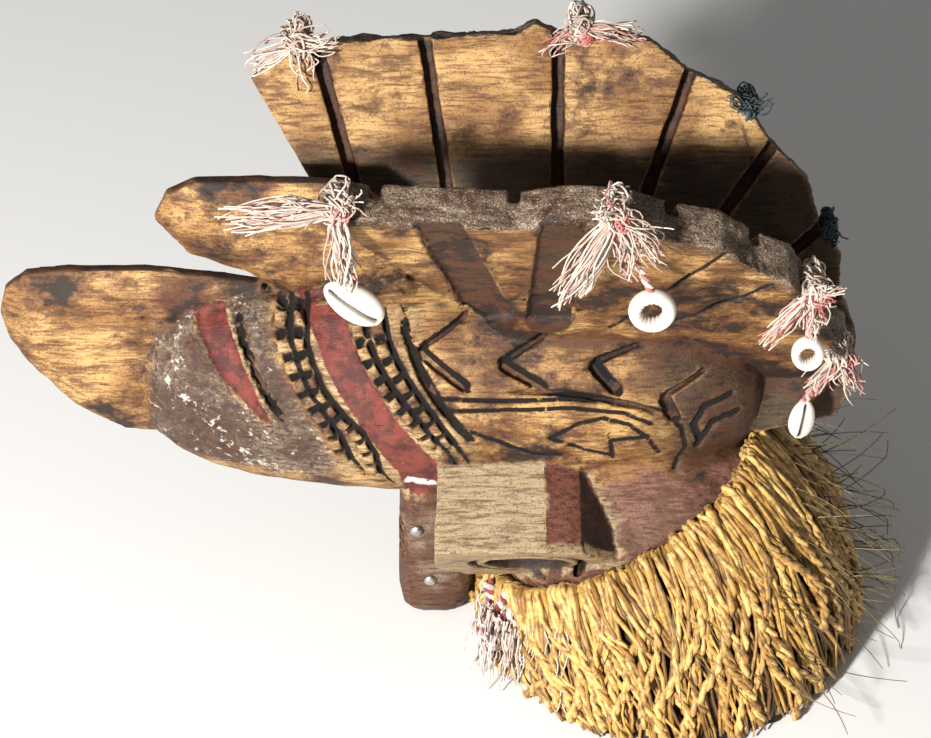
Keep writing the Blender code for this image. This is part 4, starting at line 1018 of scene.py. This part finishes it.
def makeRuff():
    straw = fibreMaterial("dryRaffiaStraw", "#6B4616", "#DBAA52", "#3B240B", 0.5, 0.1)
    twisted = fibreMaterial("twistedRaffia", "#936423", "#EBC070", "#4A2E0D", 0.46, 0.1)
    shade = fibreMaterial("shadedRaffia", "#1E1206", "#3E280F", "#0E0803", 0.8, 0.0)
    dry = fibreMaterial("looseDarkRaffia", "#3A2E1C", "#8F7A4C", "#1E160B", 0.6, 0.0)
    limp = fibreMaterial("limpPaleFibre", "#A79A83", "#DED6C6", "#7A6A55", 0.7, 0.1)
    # A dark sheet inside the strands stands for the shade between them: painted shade
    deselectAll()
    shadeSheet = bpy.data.objects.new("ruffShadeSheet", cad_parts["raffia_ruff"].data.copy())
    bpy.context.scene.collection.objects.link(shadeSheet)
    pickOnly(shadeSheet)
    bpy.ops.object.mode_set(mode="EDIT")
    bpy.ops.mesh.select_all(action="SELECT")
    bpy.ops.mesh.remove_doubles(threshold=0.00002)
    bpy.ops.mesh.subdivide(number_cuts=2)
    bpy.ops.transform.shrink_fatten(value=-0.0024)
    bpy.ops.object.mode_set(mode="OBJECT")
    bpy.ops.object.shade_smooth()
    finishPiece(shadeSheet, "ruffShadeSheet", shade, ["raffia_ruff"])
    strands = strandRoutes(ruff["strands"], 11)
    strandPiece("raffiaStrands", strands, ruff["strandRadius"], 1, straw, ["raffia_ruff"])
    ropes = ropeRoutes(ruff["ropes"], 12)
    strandPiece("raffiaRopes", ropes, ruff["ropeRadius"], 1, twisted, ["raffia_ruff"])
    strays = strayRoutes(ruff["strays"], 13)
    strandPiece("raffiaStrays", strays, ruff["strayRadius"], 0, dry)
    fibres = paleFibreRoutes(ruff["paleFibres"], 14)
    strandPiece("paleFibres", fibres, ruff["strayRadius"] * 1.3, 0, limp)


makeRuff()
print("raffia made")


# Neck cord: three plies twisted round the neck, and its short red and white end

cordTwist = {"plies": 3, "plyRadius": 0.00105, "twistRadius": 0.00095, "turns": 46, "steps": 460,
             "above": 0.0031, "reach": 0.0022}


def makeCord():
    red = fibreMaterial("redCottonCord", "#7E2A26", "#B4534B", "#4A1A18", 0.85, 0.3)
    pale = fibreMaterial("paleCottonCord", "#B9A598", "#E8DDD2", "#8F6F66", 0.85, 0.3)
    lean = ruff["lean"]
    axis = Vector((-math.sin(lean), 0.0, math.cos(lean)))
    plies = []
    for ply in range(cordTwist["plies"]):
        route = []
        for i in range(cordTwist["steps"]):
            turn = 2 * math.pi * i / cordTwist["steps"]
            place = rimPlace(turn, cordTwist["above"], cordTwist["reach"])
            out = (rimPlace(turn, 0.0, 0.01) - rimPlace(turn, 0.0, 0.0)).normalized()
            twist = turn * cordTwist["turns"] + 2 * math.pi * ply / cordTwist["plies"]
            place += (out * math.cos(twist) + axis * math.sin(twist)) * cordTwist["twistRadius"]
            route.append((place, 1.0))
        plies.append(route)
    for name, part, cotton in (("neckCordRed", plies[:1], red), ("neckCordPale", plies[1:], pale)):
        strandPiece(name, part, cordTwist["plyRadius"], 1, cotton, ["neck_cord"], cyclic=True)
    ends = {red: [], pale: []}
    rng = random.Random(21)
    for loop in range(3):
        for ply, cotton in ((0, red), (1, pale)):
            route = []
            for i in range(34):
                t = i / 33
                middle = headPlace + Vector((0.0085 + 0.006 * loop * (1 - t) + 0.002 * math.sin(5 * t + loop),
                                             -0.0290 - 0.006 * loop - 0.003 * t, -0.0830 - 0.0240 * t))
                twist = 2 * math.pi * (5.0 * t + ply / 2)
                offset = Vector((math.cos(twist), math.sin(twist) * 0.9, 0.0)) * 0.0014
                route.append((middle + offset, 1.0 - 0.3 * t))
            ends[cotton].append(route)
    strandPiece("cordEndRed", ends[red], 0.0013, 1, red)
    strandPiece("cordEndPale", ends[pale], 0.0013, 1, pale)
    fringe = []
    for _ in range(70):
        start = headPlace + Vector((rng.uniform(0.004, 0.022), -0.030 - rng.uniform(0.0, 0.026), -0.088))
        drop = rng.uniform(0.012, 0.0255)
        lean = Vector((rng.uniform(-0.006, 0.006), rng.uniform(-0.006, 0.0), 0.0))
        route = []
        for i in range(6):
            t = i / 5
            sway = Vector((math.sin(9 * t + drop * 900), 0, 0)) * 0.0006
            place = start + lean * t + Vector((0, 0, -drop * t)) + sway
            route.append((place, 1.0 - 0.4 * t))
        fringe.append(route)
    strandPiece("cordFringe", fringe, 0.00045, 0, pale)


makeCord()
print("cord made")


# Cotton tassels: where each is tied, and how its threads lie, in metres from the knot

tassels = {
    "far_front": {
        "sprays": [
            ((-0.0170, -0.0040, -0.0085), 0.0050, 46),
            ((0.0150, -0.0030, 0.0030), 0.0040, 34),
            ((0.0040, -0.0050, -0.0110), 0.0050, 26),
        ],
        "red": 0, "dark": 0,
    },
    "far_middle": {
        "sprays": [
            ((0.0210, -0.0030, -0.0010), 0.0045, 38),
            ((-0.0110, -0.0040, -0.0050), 0.0040, 22),
        ],
        "red": 26, "dark": 0,
    },
    "far_rear": {
        "sprays": [
            ((0.0060, -0.0010, 0.0045), 0.0040, 16),
            ((-0.0070, -0.0010, 0.0060), 0.0040, 14),
        ],
        "red": 0, "dark": 1,
    },
    "far_nape": {
        "sprays": [
            ((0.0030, -0.0020, -0.0040), 0.0025, 12),
        ],
        "red": 0, "dark": 1,
    },
    "near_front": {
        "sprays": [
            ((-0.0370, -0.0040, -0.0020), 0.0055, 62),
            ((-0.0210, -0.0050, 0.0030), 0.0050, 36),
            ((0.0030, -0.0070, -0.0270), 0.0042, 54),
            ((0.0070, -0.0030, 0.0050), 0.0040, 22),
        ],
        "red": 8, "dark": 0,
    },
    "near_middle": {
        "sprays": [
            ((-0.0180, -0.0070, -0.0300), 0.0060, 52),
            ((0.0150, -0.0060, -0.0120), 0.0060, 44),
            ((-0.0050, -0.0030, 0.0060), 0.0050, 26),
            ((0.0040, -0.0070, -0.0200), 0.0050, 30),
        ],
        "red": 14, "dark": 0,
    },
    "near_rear": {
        "sprays": [
            ((-0.0170, -0.0060, -0.0180), 0.0040, 30),
            ((0.0080, -0.0040, 0.0030), 0.0040, 20),
            ((0.0000, -0.0070, -0.0120), 0.0040, 24),
        ],
        "red": 20, "dark": 0,
    },
    "near_nape": {
        "sprays": [
            ((-0.0090, -0.0070, -0.0120), 0.0040, 26),
            ((0.0060, -0.0050, -0.0120), 0.0050, 26),
        ],
        "red": 10, "dark": 0,
    },
}

thread = {"radius": 0.00042, "points": 10}


def threadRoutes(rng, start, sprays, scaleCount=1.0):
    routes = []
    for reach, spread, count in sprays:
        reach = Vector(reach)
        for _ in range(round(count * scaleCount)):
            goal = reach * rng.uniform(0.65, 1.08) + Vector([rng.gauss(0.0, spread * 0.5) for _ in range(3)])
            bend = Vector([rng.gauss(0.0, spread * 0.35) for _ in range(3)])
            phase, wave = rng.uniform(0.0, 2 * math.pi), rng.uniform(0.0005, 0.0018)
            base = start + Vector([rng.gauss(0.0, 0.0011) for _ in range(3)])
            route = []
            for i in range(thread["points"]):
                t = i / (thread["points"] - 1)
                place = base + goal * t + bend * math.sin(math.pi * t)
                curl = Vector((math.sin(phase + 9 * t), math.cos(phase + 8 * t), math.sin(phase + 7 * t)))
                place += curl * wave * t
                route.append((place, 1.0 - 0.3 * t))
            routes.append(route)
    return routes


def knotRoutes(rng, centre, size, loops):
    # A tangle of small loops about a middle
    routes = []
    for _ in range(loops):
        axis = Vector([rng.gauss(0.0, 1.0) for _ in range(3)]).normalized()
        across = axis.orthogonal().normalized()
        other = axis.cross(across)
        radius = size * rng.uniform(0.55, 1.0)
        shift = Vector([rng.gauss(0.0, size * 0.22) for _ in range(3)])
        sweep = rng.uniform(3.5, 7.0)
        route = []
        for i in range(13):
            turn = sweep * i / 12
            wobble = 1.0 + 0.12 * math.sin(3 * turn + radius * 9000)
            curl = (across * math.cos(turn) + other * math.sin(turn)) * radius * wobble
            route.append((centre + shift + curl, 1.0))
        routes.append(route)
    return routes


def tasselPlaces(name):
    # Where the knot sits over the rim, and where its threads start on the near side
    low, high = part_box("tassel_" + name)
    share = {"near_middle": 0.44, "near_nape": 0.58}.get(name, 0.5)
    size = min((high.z - low.z) * 0.30, 0.0052)
    centre = Vector((low.x + (high.x - low.x) * share, (low.y + high.y) / 2, high.z - size * 0.95))
    return centre, centre + Vector((0.0, -0.0070, -0.0005)), size


def makeTassels(pale, red, dark):
    for order, (name, look) in enumerate(tassels.items()):
        node = "tassel_" + name
        rng = random.Random(40 + order)
        centre, start, size = tasselPlaces(name)
        routes = threadRoutes(rng, start, look["sprays"])
        routes += knotRoutes(rng, centre, size, 26)
        routes += knotRoutes(rng, start, size * 0.9, 34)
        routes += knotRoutes(rng, centre + Vector((0.0, 0.0070, -0.0010)), size * 0.8, 14)
        main = dark if look["dark"] else pale
        strandPiece("cottonTassel_" + name, routes, thread["radius"], 0, main, [node])
        if look["red"]:
            share = look["red"] / sum(count for _, _, count in look["sprays"])
            reds = threadRoutes(rng, start, look["sprays"], share)
            reds += knotRoutes(rng, start + Vector((0.0020, -0.0012, -0.0010)), size * 0.75, look["red"])
            strandPiece("redThreads_" + name, reds, thread["radius"], 0, red)


paleCotton = fibreMaterial("looseCottonThread", "#94806F", "#E0D3C2", "#B98F82", 0.88, 0.3)
redCotton = fibreMaterial("redCottonThread", "#8C2F2B", "#C06A60", "#E0B2A8", 0.88, 0.3)
darkCotton = fibreMaterial("sootyCottonThread", "#1F2A2C", "#4C5C5E", "#101010", 0.9, 0.1)
makeTassels(paleCotton, redCotton, darkCotton)
print("tassels made")


# Cowries: a smooth back, a long toothed mouth, and two with their backs cut off

cowries = {
    "near_front": {"kind": "whole", "turn": math.radians(-52)},
    "near_middle": {"kind": "ring", "turn": 0.0},
    "near_rear": {"kind": "ring", "turn": 0.0},
    "near_nape": {"kind": "whole", "turn": math.radians(8)},
}


def shellMaterial():
    # Money cowrie: glazed aragonite, cream white with a warm shadow in its mouth
    made, tree, shader, position = startMaterial("glazedCowrieShell")
    cloud = addNode(tree, "ShaderNodeTexNoise", {"Scale": 210.0, "Detail": 4.0, "Vector": position}, "Fac")
    mouth = addNode(tree, "ShaderNodeAttribute", {"attribute_name": "mouth"}, "Fac")
    colour = addNode(tree, "ShaderNodeMix", {"data_type": "RGBA", 0: cloud, 6: hexToLinear("#F1ECE2"),
                     7: hexToLinear("#C9BBAA")}, 2)
    colour = addNode(tree, "ShaderNodeMix", {"data_type": "RGBA", 0: mouth, 6: colour,
                     7: hexToLinear("#2A1712")}, 2)
    tree.links.new(colour, shader.inputs["Base Color"])
    shader.inputs["Roughness"].default_value = 0.24
    shader.inputs["IOR"].default_value = 1.6
    bump = addNode(tree, "ShaderNodeBump", {"Strength": 0.2, "Distance": 0.0004, "Height": cloud})
    tree.links.new(bump, shader.inputs["Normal"])
    return made


def makeCowries(shell):
    for name, look in cowries.items():
        node = "cowrie_" + name
        low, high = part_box(node)
        centre = (low + high) / 2
        size = high - low
        deselectAll()
        if look["kind"] == "whole":
            bpy.ops.mesh.primitive_uv_sphere_add(segments=64, ring_count=40, radius=0.5)
            item = bpy.context.object
            xs, ys, zs = meshArrays(item)[0].T
            taper = 1.0 - 0.22 * (zs + 0.5)  # one end is narrower
            slit = np.exp(-(xs / 0.055) ** 2) * (ys < 0) * smooth(0.47, 0.40, np.abs(zs))
            teeth = np.maximum(0.0, np.sin(zs * 92)) * np.exp(-((np.abs(xs) - 0.10) / 0.06) ** 2) * (ys < 0)
            deep = ys * taper + slit * 0.26 - teeth * 0.035
            shaped = np.stack((xs * taper, deep, zs), axis=1) * np.array(size)
            mouth = np.clip(slit * 1.3, 0, 1)
        else:
            bpy.ops.mesh.primitive_torus_add(major_segments=56, minor_segments=20, major_radius=0.36,
                                             minor_radius=0.14, rotation=(math.pi / 2, 0.0, 0.0))
            bpy.ops.object.transform_apply(location=False, rotation=True, scale=False)
            item = bpy.context.object
            xs, ys, zs = meshArrays(item)[0].T
            angle = np.arctan2(zs, xs)
            inner = np.hypot(xs, zs) < 0.30
            teeth = np.maximum(0.0, np.sin(angle * 16)) * inner
            shrink = 1.0 - teeth * 0.10
            shaped = np.stack((xs * shrink, ys * 3.4, zs * shrink), axis=1) * np.array(size)
            mouth = inner * 0.35 * (1 - teeth)
        turned = Matrix.Rotation(look["turn"], 3, "Y")
        shaped = shaped @ np.array(turned).T + np.array(centre)
        item.data.vertices.foreach_set("co", shaped.astype(np.float32).ravel())
        item.data.update()
        setNumbers(item.data, "mouth", mouth)
        pickOnly(item)
        bpy.ops.object.shade_smooth()
        finishPiece(item, "cowrieShell_" + name, shell, [node])


makeCowries(shellMaterial())
print("cowries made")


# The twisted red and white strings that carry the cut shells

def makeShellStrings(pale, red):
    for name in ("near_middle", "near_rear", "near_front", "near_nape"):
        low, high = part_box("cowrie_" + name)
        end = Vector(((low.x + high.x) / 2, (low.y + high.y) / 2, high.z - 0.0015))
        tLow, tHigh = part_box("tassel_" + name)
        startX = (tLow.x + tHigh.x) / 2
        if name == "near_middle":
            startX = tLow.x + 0.012
        if name == "near_nape":
            startX = tHigh.x - 0.010
        start = Vector((startX, tLow.y + (tHigh.y - tLow.y) * 0.35, tHigh.z - 0.010))
        plies = []
        for ply in range(2):
            route = []
            for i in range(40):
                t = i / 39
                middle = start.lerp(end, t)
                twist = 2 * math.pi * (5 * t + ply / 2)
                route.append((middle + Vector((math.cos(twist), math.sin(twist), 0.0)) * 0.0008, 1.0))
            plies.append(route)
        strandPiece("shellStringRed_" + name, plies[:1], 0.0009, 1, red)
        strandPiece("shellStringPale_" + name, plies[1:], 0.0009, 1, pale)


makeShellStrings(paleCotton, redCotton)
print("shell strings made")


# Tack heads on the chin

def tackMaterial():
    # Pressed tin-plated steel: grey, scuffed, dull in its scratches
    made, tree, shader, position = startMaterial("wornTinnedSteel")
    scuffs = addNode(tree, "ShaderNodeTexNoise", {"Scale": 900.0, "Detail": 5.0, "Vector": position}, "Fac")
    colour = addNode(tree, "ShaderNodeMix", {"data_type": "RGBA", 0: scuffs, 6: hexToLinear("#8E8A86"),
                     7: hexToLinear("#D8D6D2")}, 2)
    tree.links.new(colour, shader.inputs["Base Color"])
    rough = addNode(tree, "ShaderNodeMapRange", {"Value": scuffs, "To Min": 0.25, "To Max": 0.55})
    tree.links.new(rough, shader.inputs["Roughness"])
    shader.inputs["Metallic"].default_value = 1.0
    return made


def makeTacks(tin):
    for side in ("near", "far"):
        for number in (1, 2, 3):
            node = f"tack_{side}_{number}"
            low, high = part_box(node)
            centre = (low + high) / 2
            back = high.y if side == "near" else low.y
            deselectAll()
            bpy.ops.mesh.primitive_uv_sphere_add(segments=24, ring_count=16, radius=(high.x - low.x) / 2)
            item = bpy.context.object
            bpy.ops.object.mode_set(mode="EDIT")
            bpy.ops.mesh.select_all(action="SELECT")
            bpy.ops.mesh.bisect(plane_co=(0, 0, 0), plane_no=(0, 1, 0), use_fill=True,
                                clear_outer=side == "near", clear_inner=side == "far")
            bpy.ops.mesh.select_all(action="SELECT")
            bpy.ops.transform.resize(value=(1.0, 2 * (high.y - low.y) / (high.x - low.x), 1.0),
                                     center_override=(0, 0, 0))
            bpy.ops.transform.translate(value=(centre.x, back, centre.z))
            bpy.ops.object.mode_set(mode="OBJECT")
            bpy.ops.object.shade_smooth_by_angle(angle=math.radians(40))
            finishPiece(item, f"tackHead_{side}_{number}", tin, [node])


makeTacks(tackMaterial())
print("tack heads made")
